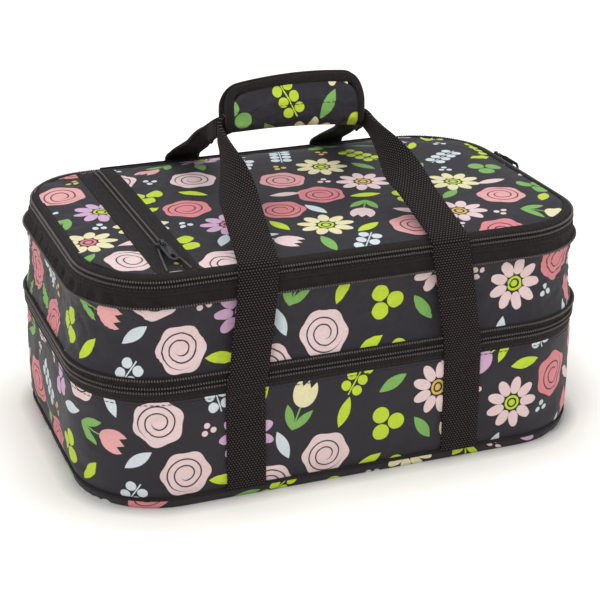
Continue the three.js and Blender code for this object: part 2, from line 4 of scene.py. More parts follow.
import bpy
import numpy as np
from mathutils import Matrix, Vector


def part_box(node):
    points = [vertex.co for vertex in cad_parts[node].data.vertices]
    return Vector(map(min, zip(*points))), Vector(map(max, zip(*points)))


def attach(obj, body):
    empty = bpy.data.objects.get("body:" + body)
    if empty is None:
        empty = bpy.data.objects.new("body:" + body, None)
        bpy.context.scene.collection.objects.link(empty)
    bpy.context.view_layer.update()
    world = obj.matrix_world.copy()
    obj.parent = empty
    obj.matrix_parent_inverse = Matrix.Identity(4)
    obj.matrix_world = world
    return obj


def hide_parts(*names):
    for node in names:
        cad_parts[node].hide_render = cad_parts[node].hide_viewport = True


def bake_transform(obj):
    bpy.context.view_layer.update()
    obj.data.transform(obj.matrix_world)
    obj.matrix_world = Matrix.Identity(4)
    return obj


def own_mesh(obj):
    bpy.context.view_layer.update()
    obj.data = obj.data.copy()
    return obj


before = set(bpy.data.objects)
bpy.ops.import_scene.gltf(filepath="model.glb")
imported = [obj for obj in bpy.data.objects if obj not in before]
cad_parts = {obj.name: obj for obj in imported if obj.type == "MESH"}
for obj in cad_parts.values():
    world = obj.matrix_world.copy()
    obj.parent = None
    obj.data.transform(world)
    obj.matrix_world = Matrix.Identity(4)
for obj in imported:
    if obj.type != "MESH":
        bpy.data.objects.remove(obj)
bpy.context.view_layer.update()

bl_info = {
    "name": "Casserole Carrier",
    "version": (1, 0, 0),
    "blender": (4, 5, 0),
    "location": "3D View > Sidebar > Carrier",
    "description": "Sews a padded two-deck dish carrier around its packed solids",
    "category": "Object",
}


def low(node):
    """The lowest corner of a solid at rest."""
    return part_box(node)[0]


def high(node):
    """The highest corner of a solid at rest."""
    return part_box(node)[1]


# Sizes that the solids give.
HALF_LENGTH = high("lower_wall").x
HALF_DEPTH = high("lower_wall").y
WALL_Z = low("lower_wall").z
WALL_TOP = high("lower_wall").z
TAPE_Z = low("lower_zip_tape").z
TAPE_TOP = high("lower_zip_tape").z
DECK_Z = low("deck_band").z
DECK_TOP = high("deck_band").z
GUSSET_Z = low("gusset").z
GUSSET_TOP = high("gusset").z
UPPER_Z = low("upper_band").z
UPPER_TOP = high("upper_band").z
LID_Z = low("lid_binding").z
LID_TOP = high("lid_main_panel").z
HINGE_HALF = high("deck_hinge_strip").x
LEAN = HALF_LENGTH - high("upper_band").x
ZIP_X = (high("pocket_tape_left").x + low("pocket_tape_right").x) / 2
POCKET_SLIDER_Y = (low("pocket_slider").y + high("pocket_slider").y) / 2
STRAP_CENTRE_X = (low("front_loop").x + high("front_loop").x) / 2
BACK_CENTRE_X = (low("back_strap_foot_left").x + high("back_strap_foot_right").x) / 2
STRAP_FOOT_X = (low("front_strap_foot_right").x + high("front_strap_foot_right").x) / 2 - STRAP_CENTRE_X
STRAP_WIDTH = high("front_strap_foot_right").x - low("front_strap_foot_right").x
STRAP_THICKNESS = high("front_strap_foot_right").y - low("front_strap_foot_right").y
STRAP_LID_X = high("front_loop").x - STRAP_WIDTH / 2 - STRAP_CENTRE_X
LOOP_Z = low("grip_loop_tape").z - 0.0003 - STRAP_WIDTH / 4
LOOP_Y = STRAP_THICKNESS + 0.00015
GRIP_HALF = (high("grip_back_binding").x - low("grip_back_binding").x) / 2
GRIP_Z = low("grip_back_panel").z
GRIP_TOP = high("grip_back_binding").z
GRIP_FACE = low("grip_back_binding").y
GRIP_PAD = high("grip_back_binding").y - GRIP_FACE
LOOP_HINGE_Z = low("front_loop").z
STRAP_FREE_Y = high("back_upright_left").y - STRAP_THICKNESS / 2

# The turn of the print on the cloth, and how far cloth is tucked under the lid's binding.
PRINT_TURN = 0.42
TUCK = 0.0006


def shade(hex_code):
    """A screen colour as the linear colour that shaders take."""
    channels = [(hex_code >> shift & 255) / 255 for shift in (16, 8, 0)]
    return tuple(c / 12.92 if c <= 0.04045 else ((c + 0.055) / 1.055) ** 2.4 for c in channels)


def length(name, description, default):
    """A length in metres that the panel shows."""
    return bpy.props.FloatProperty(
        name=name, description=description, default=default, unit="LENGTH", precision=4)


def share(name, description, default):
    """A plain share that the panel shows."""
    return bpy.props.FloatProperty(
        name=name, description=description, default=default, subtype="FACTOR", precision=3)


def colour(name, description, hex_code):
    """A colour that the panel shows."""
    return bpy.props.FloatVectorProperty(
        name=name, description=description, default=shade(hex_code), subtype="COLOR", size=3, min=0, max=1)


class CarrierSizes(bpy.types.PropertyGroup):
    """Sizes of the sewing that the solids don't give."""

    corner_radius: length("Corner radius", "Radius of the bag's upright corners", 0.068)
    cloth: length("Cloth", "Thickness of the printed cloth", 0.0012)
    tape: length("Tape", "Thickness of the black tape", 0.0011)
    wall_puff: length("Wall puff", "How far the padded wall may swell", 0.0024)
    gusset_recess: length("Gusset recess", "How far the gusset falls in between its zips", 0.003)
    end_slump: length("End slump", "How far the upper deck's left end has slumped inwards", 0.005)
    gusset_ease: share("Gusset ease", "Spare cloth in the gusset, which wrinkles it", 0.085)
    gusset_slack: length("Gusset slack", "How far the gusset's wrinkles may reach", 0.0075)
    lid_crown: length("Lid crown", "How far the lid's panels may swell", 0.0030)
    lid_hem: length("Lid hem", "Width of the binding on the lid's top", 0.006)
    lid_fall: length("Lid fall", "How far the lid falls at its back edge", 0.0030)
    lid_brow: length("Lid brow", "How far in from its edge the lid falls", 0.030)
    tooth_pitch: length("Tooth pitch", "Distance between two turns of a zip coil", 0.0020)
    stitch: length("Stitch", "Length of a stitch", 0.0030)
    stitch_pitch: length("Stitch pitch", "Distance between two stitches", 0.0042)
    thread: length("Thread", "Thickness of the sewing thread", 0.0006)
    zip_opening: length("Zip opening", "Half of the pocket's opening at its front end", 0.0068)
    strap_split: length("Strap split", "Height at which a strap is cut in two lengths", 0.135)
    strap_run: length("Strap run", "How far a strap stands out of the grip before it turns", 0.0035)
    strap_sag: length("Strap sag", "How far a strap sinks on its way out of the grip", 0.007)
    strap_close: length("Strap close", "How much closer the slack back straps lie at the lid", 0.0090)
    grip_fold: length("Grip fold", "Half length of the cloth under the loops", 0.036)
    grip_puff: length("Grip puff", "How far the grip's padding may swell", 0.0026)
    grip_droop: share("Grip droop", "Slope at which the grip hangs towards its right end", 0.040)
    grip_skew: share("Grip skew", "How far askew the grip's top edge is fastened", 0.066)
    grip_arch: length("Grip arch", "How far the grip's ends sink below its middle", 0.0030)


class CarrierColours(bpy.types.PropertyGroup):
    """Colours of the cloth, the trim and the fittings."""

    ground: colour("Ground", "Ground of the printed cloth", 0x262329)
    coral: colour("Coral", "Print colour", 0xDB858A)
    salmon: colour("Salmon", "Print colour", 0xE7A7A6)
    blush: colour("Blush", "Print colour", 0xE8CDCC)
    lilac: colour("Lilac", "Print colour", 0xD3ABCB)
    lime: colour("Lime", "Print colour", 0xC2D936)
    leaf: colour("Leaf green", "Print colour", 0x7DB05A)
    mist: colour("Mist", "Print colour", 0xD3DCE0)
    cream: colour("Cream", "Print colour", 0xE8DFB2)
    mustard: colour("Mustard", "Print colour", 0xDDB862)
    black_cloth: colour("Black cloth", "Tapes, bands and bindings", 0x221B1B)
    webbing: colour("Webbing", "Straps", 0x221C1B)
    # The coil's colour is lighter than black nylon: partly the nylon's own colour and partly painted
    # highlight, so that its turns show as bright ticks.
    coil: colour("Coil", "Zip coils", 0x554F4B)
    metal: colour("Paint", "Zip sliders and pulls", 0x161616)
    thread: colour("Thread", "Sewing thread", 0x151312)
    foil: colour("Foil", "Lining film", 0xC4C7CC)
    floor: colour("Floor", "Studio floor", 0xF5F1EA)


def sizes():
    """The sizes of the open scene."""
    return bpy.context.scene.carrier_sizes


def colours():
    """The colours of the open scene."""
    return bpy.context.scene.carrier_colours


def lean(z):
    """How far the upper deck has drawn in at each height."""
    return np.interp(z, [GUSSET_Z, GUSSET_TOP, UPPER_TOP], [0, LEAN * 0.4, LEAN])


def slump(x, z):
    """How far the upper deck's left end has slumped inwards at each place."""
    risen = np.interp(z, [GUSSET_Z, GUSSET_TOP, UPPER_TOP], [0, 0.15, 1])
    near = np.clip((-x - 0.142) / 0.055, 0, 1)
    return sizes().end_slump * risen * near * near * (3 - 2 * near)


class Outline:
    """The bag's plan, met by the distance from the middle of the back and going round by the left end."""

    def __init__(self):
        self.radius = sizes().corner_radius
        wide = HALF_LENGTH - self.radius
        deep = HALF_DEPTH - self.radius
        turn = self.radius * math.pi / 2
        runs = [0, wide, turn, 2 * deep, turn, 2 * wide, turn, 2 * deep, turn, wide]
        self.marks = np.cumsum(runs)
        self.around = self.marks[-1]
        self.core_x = np.array([0, -wide, -wide, -wide, -wide, wide, wide, wide, wide, 0])
        self.core_y = np.array([deep, deep, deep, -deep, -deep, -deep, -deep, deep, deep, deep])
        self.turned = np.radians([90, 90, 180, 180, 270, 270, 360, 360, 450, 450])

    def facing(self, distance):
        """The way the outline faces at each distance."""
        angle = np.interp(np.mod(distance, self.around), self.marks, self.turned)
        return np.stack([np.cos(angle), np.sin(angle)], -1)

    def points(self, distance, out, z):
        """Points at a distance round, standing out from the cloth wall, at a height."""
        place = np.mod(distance, self.around)
        core = stack(np.interp(place, self.marks, self.core_x), np.interp(place, self.marks, self.core_y))
        flat = core + self.facing(distance) * (self.radius + np.asarray(out - lean(z))[..., None])
        flat[:, 0] += slump(flat[:, 0], z)
        return np.concatenate([flat, np.broadcast_to(z, flat.shape[:1])[:, None]], -1)

    def loop(self, out, z, count=500):
        """Points once round the bag at a height."""
        return self.points(np.linspace(0, self.around, count, endpoint=False), out, z)

    def half_depth(self, x, inset):
        """Half of the plan's depth at each x, drawn inwards by an inset."""
        corner = self.radius - inset
        beyond = np.clip(np.abs(x) - (HALF_LENGTH - self.radius), 0, corner)
        return HALF_DEPTH - self.radius + np.sqrt(corner ** 2 - beyond ** 2)

    def inwards(self, x, y, inset):
        """How far each place lies inside the plan, drawn inwards by an inset."""
        over_x = np.abs(x) - (HALF_LENGTH - self.radius)
        over_y = np.abs(y) - (HALF_DEPTH - self.radius)
        corner = np.hypot(np.maximum(over_x, 0), np.maximum(over_y, 0))
        return self.radius - inset - corner - np.minimum(np.maximum(over_x, over_y), 0)


def strap_centre(face):
    """The middle between the two straps of one face."""
    return STRAP_CENTRE_X if face < 0 else BACK_CENTRE_X


def strap_reach(face):
    """How far from that middle a strap crosses the lid's edge; the slack back straps lie closer."""
    return STRAP_LID_X if face < 0 else STRAP_LID_X - sizes().strap_close


# Mesh helpers.
def pick(piece):
    """Makes a piece the only selected and active one."""
    bpy.ops.object.select_all(action="DESELECT")
    piece.select_set(True)
    bpy.context.view_layer.objects.active = piece


def named(piece, name):
    """Names a piece and its mesh."""
    piece.name = name
    piece.data.name = name
    return piece


def primitive(add, name, **settings):
    """Adds a primitive as a piece of its own."""
    bpy.ops.object.select_all(action="DESELECT")
    add(**settings)
    return named(bpy.context.active_object, name)


def edit(piece, *steps):
    """Runs edit-mode steps on all of a piece."""
    pick(piece)
    bpy.ops.object.mode_set(mode="EDIT")
    bpy.ops.mesh.select_all(action="SELECT")
    for step in steps:
        step()
    bpy.ops.object.mode_set(mode="OBJECT")
    return piece


def weld():
    """Merges points that lie on each other."""
    bpy.ops.mesh.remove_doubles(threshold=2e-5)


def cap():
    """Closes the open ends of a tube."""
    bpy.ops.mesh.fill_holes(sides=0)


def face_out():
    """Turns all faces outwards."""
    bpy.ops.mesh.normals_make_consistent(inside=False)


def modify(piece, kind, **settings):
    """Adds a modifier with its settings and applies it."""
    pick(piece)
    bpy.ops.object.modifier_add(type=kind)
    modifier = piece.modifiers[-1]
    for name, value in settings.items():
        setattr(modifier, name, value)
    bpy.ops.object.modifier_apply(modifier=modifier.name)


def complete(piece, look, body, *nodes, thickness=0.0, degrees=40, inner=None):
    """Gives a piece its thickness, its finish and the body that it rides on in place of its solids."""
    if thickness:
        modify(piece, "SOLIDIFY", thickness=thickness, offset=-1, use_even_offset=True,
               material_offset=1 if inner else 0)
    pick(piece)
    bpy.ops.object.shade_smooth_by_angle(angle=math.radians(degrees))
    piece.data.materials.clear()
    for finish in filter(None, (look, inner)):
        piece.data.materials.append(finish())
    if body:
        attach(piece, body)
    if nodes:
        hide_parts(*nodes)
    return piece


def spots(piece):
    """All points of a piece, as one array."""
    flat = np.empty(len(piece.data.vertices) * 3)
    piece.data.vertices.foreach_get("co", flat)
    return flat.reshape(-1, 3)


def move_to(piece, points):
    """Puts all points of a piece in new places."""
    piece.data.vertices.foreach_set("co", np.ascontiguousarray(points, dtype=np.float32).ravel())
    piece.data.update()


def grip_hang(x, z):
    """How far the grip has sunk at a place: it arches between the loops and is fastened a little askew."""
    tall = (z - GRIP_Z) / (GRIP_TOP - GRIP_Z)
    slope = sizes().grip_droop - sizes().grip_skew * tall
    return x * slope + sizes().grip_arch * (x / GRIP_HALF) ** 2


def hang(piece):
    """Brings a piece of the grip to the middle of the straps and lets it hang."""
    points = spots(piece)
    points[:, 2] -= grip_hang(points[:, 0], points[:, 2])
    points[:, 0] += STRAP_CENTRE_X
    move_to(piece, points)
    return piece


def eased(step):
    """A step from nought to one that starts and ends gently."""
    return step * step * (3 - 2 * step)


def crowded(share, amount):
    """Even shares of a length, crowded towards both ends."""
    return share - np.sin(2 * math.pi * share) / (2 * math.pi) * amount


def nearest(share, count):
    """The whole step that each share of a count comes to."""
    return np.rint(share * count).astype(int)


def stack(*columns):
    """Points from their x, y and z."""
    return np.stack(np.broadcast_arrays(*columns), -1)


def bolt(name, columns, rows):
    """A sheet before it is laid, with the share of its length and of its width at each point."""
    grid = bpy.ops.mesh.primitive_grid_add
    piece = primitive(grid, name, x_subdivisions=columns, y_subdivisions=rows, size=1)
    start = spots(piece)
    return piece, start[:, 0] + 0.5, start[:, 1] + 0.5


def lay(piece, points, along, across):
    """Puts each point of a sheet in place; along and across give its place on the flat cut, in metres."""
    corners = np.empty(len(piece.data.loops), dtype=np.int32)
    piece.data.loops.foreach_get("vertex_index", corners)
    cut = stack(along, across)[corners]
    piece.data.uv_layers[0].data.foreach_set("uv", cut.astype(np.float32).ravel())
    move_to(piece, points)
    return piece


def ring(name, plan, columns, profile):
    """A closed band round the bag through profile points, each an (out, z) pair."""
    outs, heights = np.array(profile).T
    steps = np.concatenate([[0], np.cumsum(np.hypot(np.diff(outs), np.diff(heights)))])
    rows = len(profile) - 1
    band, u, v = bolt(name, columns, rows)
    row = nearest(v, rows)
    around = u * plan.around
    return edit(lay(band, plan.points(around, outs[row], heights[row]), around, steps[row]), weld)


def rise(bottom, top, rows, out=0.0):
    """A straight profile from one height to another."""
    return [(out, bottom + (top - bottom) * row / rows) for row in range(rows + 1)]


def settle(piece, sewn, ease, puff, reach, steps=22, bend=0.4, slack=None):
    """Lets a sheet find its rest by cloth simulation, held where it is sewn and within reach of its start."""
    start = spots(piece)
    group = piece.vertex_groups.new(name="sewn")
    group.add(np.flatnonzero(sewn).tolist(), 1.0, "REPLACE")
    pick(piece)
    bpy.ops.object.modifier_add(type="CLOTH")
    cloth = piece.modifiers[-1]
    settings = {
        "vertex_group_mass": group.name,
        "quality": 6,
        "mass": 0.25,
        "tension_stiffness": 25,
        "compression_stiffness": 25,
        "shear_stiffness": 12,
        "bending_stiffness": bend,
        "air_damping": 4,
        "use_pressure": puff != 0,
        "uniform_pressure_force": puff,
        "shrink_min": -ease,
    }
    for name, value in settings.items():
        setattr(cloth.settings, name, value)
    if slack is not None:
        snug = 0.008
        loose = piece.vertex_groups.new(name="loose")
        for index, weight in enumerate(slack):
            loose.add([index], float(weight), "REPLACE")
        cloth.settings.vertex_group_shrink = loose.name
        cloth.settings.shrink_min = -snug
        cloth.settings.shrink_max = -ease
    cloth.settings.effector_weights.gravity = 0
    cloth.collision_settings.use_collision = False
    cloth.collision_settings.use_self_collision = False
    cloth.point_cache.frame_start = 1
    cloth.point_cache.frame_end = steps
    for step in range(1, steps + 1):
        bpy.context.scene.frame_set(step)
    bpy.ops.object.modifier_apply(modifier=cloth.name)
    bpy.context.scene.frame_set(1)
    piece.vertex_groups.clear()
    moved = spots(piece) - start
    far = np.linalg.norm(moved, axis=1, keepdims=True)
    capped = moved * (reach * np.tanh(far / reach) / np.maximum(far, 1e-9))
    move_to(piece, start + capped)


def path_curve(points, closed, level):
    """A guide line through points, for pieces that repeat along it."""
    data = bpy.data.curves.new("guide", "CURVE")
    data.dimensions = "3D"
    data.twist_mode = "Z_UP" if level else "MINIMUM"
    line = data.splines.new("POLY")
    line.points.add(len(points) - 1)
    line.points.foreach_set("co", [value for point in points for value in (*point, 1)])
    line.use_cyclic_u = closed
    guide = bpy.data.objects.new("guide", data)
    bpy.context.scene.collection.objects.link(guide)
    return guide


def repeat_along(unit, points, pitch, closed, level):
    """Copies a unit, modelled along X, at an even pitch along a line of points."""
    line = np.array(points)
    ends = np.vstack([line, line[:1]]) if closed else line
    run = np.linalg.norm(np.diff(ends, axis=0), axis=1).sum()
    count = max(int(run / pitch), 1)
    guide = path_curve(points, closed, level)
    modify(unit, "ARRAY", count=count, use_relative_offset=False, use_constant_offset=True,
           constant_offset_displace=(run / count, 0, 0))
    modify(unit, "CURVE", object=guide, deform_axis="POS_X")
    bpy.data.objects.remove(guide)
    return unit


def one_stitch(name):
    """One stitch along X, lying on its line, thick in the middle and drawn in at both ends."""
    stitch = primitive(bpy.ops.mesh.primitive_cylinder_add, name, vertices=6, radius=sizes().thread / 2,
                       depth=sizes().stitch, end_fill_type="TRIFAN")

    def lay_down():
        bpy.ops.transform.rotate(value=math.pi / 2, orient_axis="Y", center_override=(0, 0, 0))
        bpy.ops.mesh.subdivide(number_cuts=1)

    points = spots(edit(stitch, lay_down))
    along = points[:, 0] / (sizes().stitch / 2)
    points[:, 1:] *= (1 - 0.55 * along[:, None] ** 2)
    points[:, 0] += sizes().stitch_pitch / 2
    move_to(stitch, points)
    return stitch


def sew(name, points, body, closed=False, level=True):
    """A line of stitches along points, riding on a body."""
    seam = repeat_along(one_stitch(name), points, sizes().stitch_pitch, closed, level)
    return complete(seam, thread_look, body, degrees=60)


def one_tooth(name, lying):
    """One turn of a coil: a rounded bar across the zip, drawn in at its seam."""
    pitch = sizes().tooth_pitch
    wide = (high("lower_zip_coil").z - low("lower_zip_coil").z) * 0.62
    tall = 0.0018
    tooth = primitive(bpy.ops.mesh.primitive_cube_add, name, size=1)

    def shape():
        bpy.ops.transform.resize(value=(pitch * 0.5, tall, wide), center_override=(0, 0, 0))
        bpy.ops.mesh.bevel(offset=pitch * 0.16, segments=1, affect="EDGES")

    points = spots(edit(tooth, shape))
    points[:, 0] += pitch / 2
    if lying:
        points = stack(points[:, 0], points[:, 2], points[:, 1] + tall / 2)
    else:
        points[:, 1] -= tall / 2
    move_to(tooth, points)
    return edit(tooth, face_out)


def coil_row(node, body, points, closed=False, lying=False):
    """One half of a zip: a cord of turns along a line, bedded on its tape."""
    row = repeat_along(one_tooth(node + "_teeth", lying), points, sizes().tooth_pitch, closed, True)
    complete(row, coil_look, body, node, degrees=50)


# Shader boards.
def operation(name, turned=False):
    """A method that puts a socket first in a sum or, turned, last."""
    def act(self, *others):
        terms = (*others, self) if turned else (self, *others)
        return self.board.add("ShaderNodeMath", {"operation": name}, dict(enumerate(terms)))
    return act


class Field:
    """A socket of a shader board, with sums on it written as Python."""

    def __init__(self, board, socket):
        self.board = board
        self.socket = socket

    __add__ = operation("ADD")
    __radd__ = operation("ADD", True)
    __sub__ = operation("SUBTRACT")
    __rsub__ = operation("SUBTRACT", True)
    __mul__ = operation("MULTIPLY")
    __rmul__ = operation("MULTIPLY", True)
    __truediv__ = operation("DIVIDE")
    __pow__ = operation("POWER")
    __abs__ = operation("ABSOLUTE")
    floor = operation("FLOOR")
    wrap = operation("FRACT")
    sin = operation("SINE")
    cos = operation("COSINE")
    root = operation("SQRT")
    lesser = operation("MINIMUM")
    greater = operation("MAXIMUM")
    above = operation("GREATER_THAN")
    below = operation("LESS_THAN")
    angle = operation("ARCTAN2")

    def inside(self, edge=0.0, soft=0.25):
        """One where the value lies under an edge and nought above it."""
        sockets = {"Value": self, "From Min": edge + soft, "From Max": edge - soft}
        return self.board.add("ShaderNodeMapRange", {"interpolation_type": "SMOOTHSTEP"}, sockets)

    def ramp(self, end, low_value, high_value):
        """A value that goes from one to another while this one goes from nought to its end."""
        sockets = {"Value": self, "From Min": 0.0, "From Max": end, "To Min": low_value, "To Max": high_value}
        return self.board.add("ShaderNodeMapRange", {}, sockets)


class Board:
    """The shader board of a material or of the world, with one method that adds any node."""

    def __init__(self, owner):
        owner.use_nodes = True
        self.owner = owner
        self.tree = owner.node_tree
        self.shader = self.tree.nodes.get("Principled BSDF")

    def add(self, kind, settings, sockets, out=0):
        node = self.tree.nodes.new(kind)
        for name, value in settings.items():
            if name == "stops":
                self.fill_ramp(node.color_ramp, value)
            else:
                setattr(node, name, value)
        for name, value in sockets.items():
            self.feed(node.inputs[name], value)
        return Field(self, node.outputs[out])

    def fill_ramp(self, ramp, stops):
        ramp.interpolation = "CONSTANT"
        while len(ramp.elements) < len(stops):
            ramp.elements.new(1.0)
        for index, tint in enumerate(stops):
            ramp.elements[index].position = index / len(stops)
            ramp.elements[index].color = (*tint, 1)

    def feed(self, socket, value):
        if isinstance(value, Field):
            self.tree.links.new(value.socket, socket)
        elif hasattr(value, "__len__") and socket.type == "RGBA":
            socket.default_value = (*value[:3], 1)
        else:
            socket.default_value = value

    def mix(self, base, top, factor):
        """A colour with another laid over it."""
        return self.add("ShaderNodeMix", {"data_type": "RGBA"}, {0: factor, 6: base, 7: top}, 2)

    def tint(self, base, factor):
        """A colour made lighter or darker by a value."""
        grey = self.add("ShaderNodeCombineColor", {}, {0: factor, 1: factor, 2: factor})
        settings = {"data_type": "RGBA", "blend_type": "MULTIPLY"}
        return self.add("ShaderNodeMix", settings, {0: 1.0, 6: base, 7: grey}, 2)

    def vector(self, x, y, z=0.0):
        return self.add("ShaderNodeCombineXYZ", {}, {0: x, 1: y, 2: z})

    def split(self, vector):
        return [self.add("ShaderNodeSeparateXYZ", {}, {0: vector}, out) for out in range(3)]

    def cut_place(self):
        """The place on the flat cut, in millimetres along and across."""
        along, across, _ = self.split(self.add("ShaderNodeUVMap", {"uv_map": "UVMap"}, {}))
        return along * 1000, across * 1000

    def body_place(self):
        """The place in the object's own frame, in millimetres."""
        place = self.add("ShaderNodeTexCoord", {}, {}, 3)
        return self.add("ShaderNodeVectorMath", {"operation": "SCALE"}, {0: place, 3: 1000})

    def noise(self, place, size, detail=2.0):
        """Soft noise with lumps of a size in millimetres."""
        return self.add("ShaderNodeTexNoise", {}, {"Vector": place, "Scale": 1 / size, "Detail": detail})

    def bump(self, height, distance, strength=1.0):
        return self.add("ShaderNodeBump", {}, {"Height": height, "Distance": distance, "Strength": strength})

    def rays(self, *kinds):
        """One for rays of any of these kinds."""
        seen = [self.add("ShaderNodeLightPath", {}, {}, kind) for kind in kinds]
        either = seen[0]
        for other in seen[1:]:
            either = either.greater(other)
        return either

    def finish(self, colour, roughness, normal=None, **constants):
        """Feeds the material's own shader; a name's underscores stand for the spaces of its socket."""
        self.feed(self.shader.inputs["Base Color"], colour)
        self.feed(self.shader.inputs["Roughness"], roughness)
        if normal is not None:
            self.feed(self.shader.inputs["Normal"], normal)
        for name, value in constants.items():
            self.feed(self.shader.inputs[name.replace("_", " ")], value)
        return self.owner

    def show(self, output, shader):
        """Puts a shader on the output of this name."""
        self.feed(self.tree.nodes[output].inputs["Surface"], shader)


def look(name, slot):
    """Makes a finish of a slot once and gives the same material afterwards."""
    def wrap(build):
        def fetch():
            return bpy.data.materials.get(name) or build(Board(bpy.data.materials.new(name)))
        fetch.slot = slot
        return fetch
    return wrap


# Printed cloth: motifs scattered one to a cell, in millimetres on the cut.
class Cell:
    """One layer of cells over the cloth, with a strayed middle and chances for each cell."""

    def __init__(self, board, x, y, offset, seed, stray):
        self.board = board
        pitch = 48.0
        cos = math.cos(PRINT_TURN)
        sin = math.sin(PRINT_TURN)
        along = (x * cos + y * sin) / pitch + offset
        across = (y * cos - x * sin) / pitch + offset
        column = along.floor()
        row = across.floor()
        first, second, self.third = self.chances(board.vector(column, row, seed))
        self.kind, self.tone, self.spare = self.chances(board.vector(row, column, seed + 9))
        self.x = (along - column - 0.5) * pitch - (first - 0.5) * stray
        self.y = (across - row - 0.5) * pitch - (second - 0.5) * stray

    def chances(self, place):
        """Three chances between nought and one that belong to a cell."""
        return self.board.split(self.board.add("ShaderNodeTexWhiteNoise", {}, {"Vector": place}, "Color"))

    def turned(self):
        """The place in the cell, turned by the cell's chance."""
        angle = self.third * (2 * math.pi)
        cos = angle.cos()
        sin = angle.sin()
        return self.x * cos + self.y * sin, self.y * cos - self.x * sin

    def polar(self):
        """The distance from the middle and the share of a turn."""
        away = (self.x * self.x + self.y * self.y).root()
        return away, self.y.angle(self.x) / (2 * math.pi) + self.third

    def stamp(self, cloth, motif, start, end, stops, chance):
        """Prints a motif over a cloth, in cells whose kind lies between two shares, in one of some inks."""
        here = self.kind.above(start) * self.kind.below(end)
        ink = self.board.add("ShaderNodeValToRGB", {"stops": stops}, {0: chance})
        return self.board.mix(cloth, ink, (motif + (1 - here) * 60).inside())


def lens(along, across, start, end, half):
    """How far a place lies outside a leaf shape that is pointed at both ends."""
    step = (along - start) / (end - start)
    return abs(across) - step * (1 - step) * (4 * half)


def petals(away, turn, count, start, end, half):
    """How far a place lies outside a ring of round-ended petals."""
    side = ((turn * count).wrap() - 0.5) * away * (2 * math.pi / count)
    step = (away - start) / (end - start)
    edge = abs(side) - ((step * (1 - step)).greater(0.0)).root() * (2 * half)
    return edge.greater(away - end).greater(start - away)


def ball(x, y, centre_x, centre_y, radius):
    """How far a place lies outside a round spot."""
    aside = x - centre_x
    ahead = y - centre_y
    return (aside * aside + ahead * ahead).root() - radius


@look("printed_cloth", "cloth")
def print_look(board):
    tints = colours()
    x, y = board.cut_place()
    cell = Cell(board, x, y, 0.2, 3.0, 6.0)
    filler = Cell(board, x, y, 0.7, 5.0, 8.0)
    warm = [tints.coral, tints.salmon, tints.coral, tints.blush]
    pale = [tints.cream, tints.lilac, tints.blush, tints.cream]
    cool = [tints.mist, tints.leaf, tints.mist, tints.lime]
    hearts = [tints.mustard, tints.coral, tints.lime]
    greens = [tints.leaf, tints.lime, tints.mist]

    away, turn = cell.polar()
    aside, up = cell.turned()
    scallop = away - 18.2 - (turn * (12 * math.pi)).cos() * 0.9
    whorl = 0.55 - abs((away / 5.2 - turn).wrap() - 0.5) * 5.2
    rose = scallop.greater(whorl.lesser(away - 4.5).lesser(14.8 - away))
    cloth = cell.stamp(tints.ground, rose, 0.0, 0.25, warm, cell.tone)

    rays = petals(away, turn, 9, 7.2, 21.5, 4.3)
    cloth = cell.stamp(cloth, rays, 0.25, 0.47, pale, cell.tone)
    disc = (away - 6.0).greater(abs(abs(away - 3.4) - 0.2) * -1 + 0.5)
    cloth = cell.stamp(cloth, disc, 0.25, 0.47, hearts, cell.spare)

    stem = (abs(aside) - 0.6).greater(abs(up + 10) - 11)
    rising = (up + 21) * 0.86 + abs(aside) * 0.5
    blade = lens(rising, abs(aside) * 0.86 - (up + 21) * 0.5, 0.0, 21.0, 3.4)
    cloth = cell.stamp(cloth, stem.lesser(blade), 0.47, 0.64, greens, cell.spare)
    wide = aside / 9.5
    tall = (up - 9.5) / 12.0
    cup = ((wide * wide + tall * tall).root() - 1) * 9.5
    notch = up - 18.5 + abs((aside / 6.4 + 0.5).wrap() - 0.5) * 11.0
    cloth = cell.stamp(cloth, cup.greater(notch), 0.47, 0.64, warm[1:] + pale, cell.tone)

    twig = (abs(aside) - 0.5).greater(abs(up) - 19)
    step = (up / 9.0).wrap() - 0.5
    coin = ball(abs(aside), step * 9.0, 4.9, 0.0, 3.9).greater(abs(up) - 18)
    cloth = cell.stamp(cloth, twig.lesser(coin), 0.64, 0.86, cool, cell.tone)

    swing = ((turn * 3).wrap() - 0.5) * (2 * math.pi / 3)
    lobe = ball(away * swing.cos(), away * swing.sin(), 8.2, 0.0, 6.6)
    cloth = cell.stamp(cloth, lobe, 0.86, 1.0, [tints.lime, tints.leaf, tints.lilac], cell.tone)

    aside, up = filler.turned()
    drop = lens(up, aside, -12.5, 12.5, 4.4)
    cloth = filler.stamp(cloth, drop, 0.0, 0.62, cool[1:] + [tints.blush], filler.tone)
    berry = ball(abs(aside), up, 3.4, -1.0, 2.3).lesser(ball(aside, up, 0.0, 4.2, 2.3))
    cloth = filler.stamp(cloth, berry, 0.62, 1.0, [tints.mist, tints.blush, tints.mustard], filler.tone)

    wash = board.noise(board.vector(x, y), 9.0)
    threads = ((x + y) * (2 * math.pi / 1.9)).sin() * ((x - y) * (2 * math.pi / 1.9)).sin()
    slub = board.noise(board.vector(x * 0.6, y, 2.0), 1.3)
    coloured = board.tint(cloth, 0.80 + wash * 0.12 + slub * 0.24 + threads * 0.06)
    creases = board.noise(board.vector(x, y * 1.7), 14.0, 3.0)
    normal = board.bump(threads * 0.12 + creases * 1.6, 0.0006, 0.5)
    return board.finish(coloured, 0.56 + wash * 0.12, normal,
                        Sheen_Weight=0.06, Sheen_Roughness=0.5, Specular_IOR_Level=0.3)


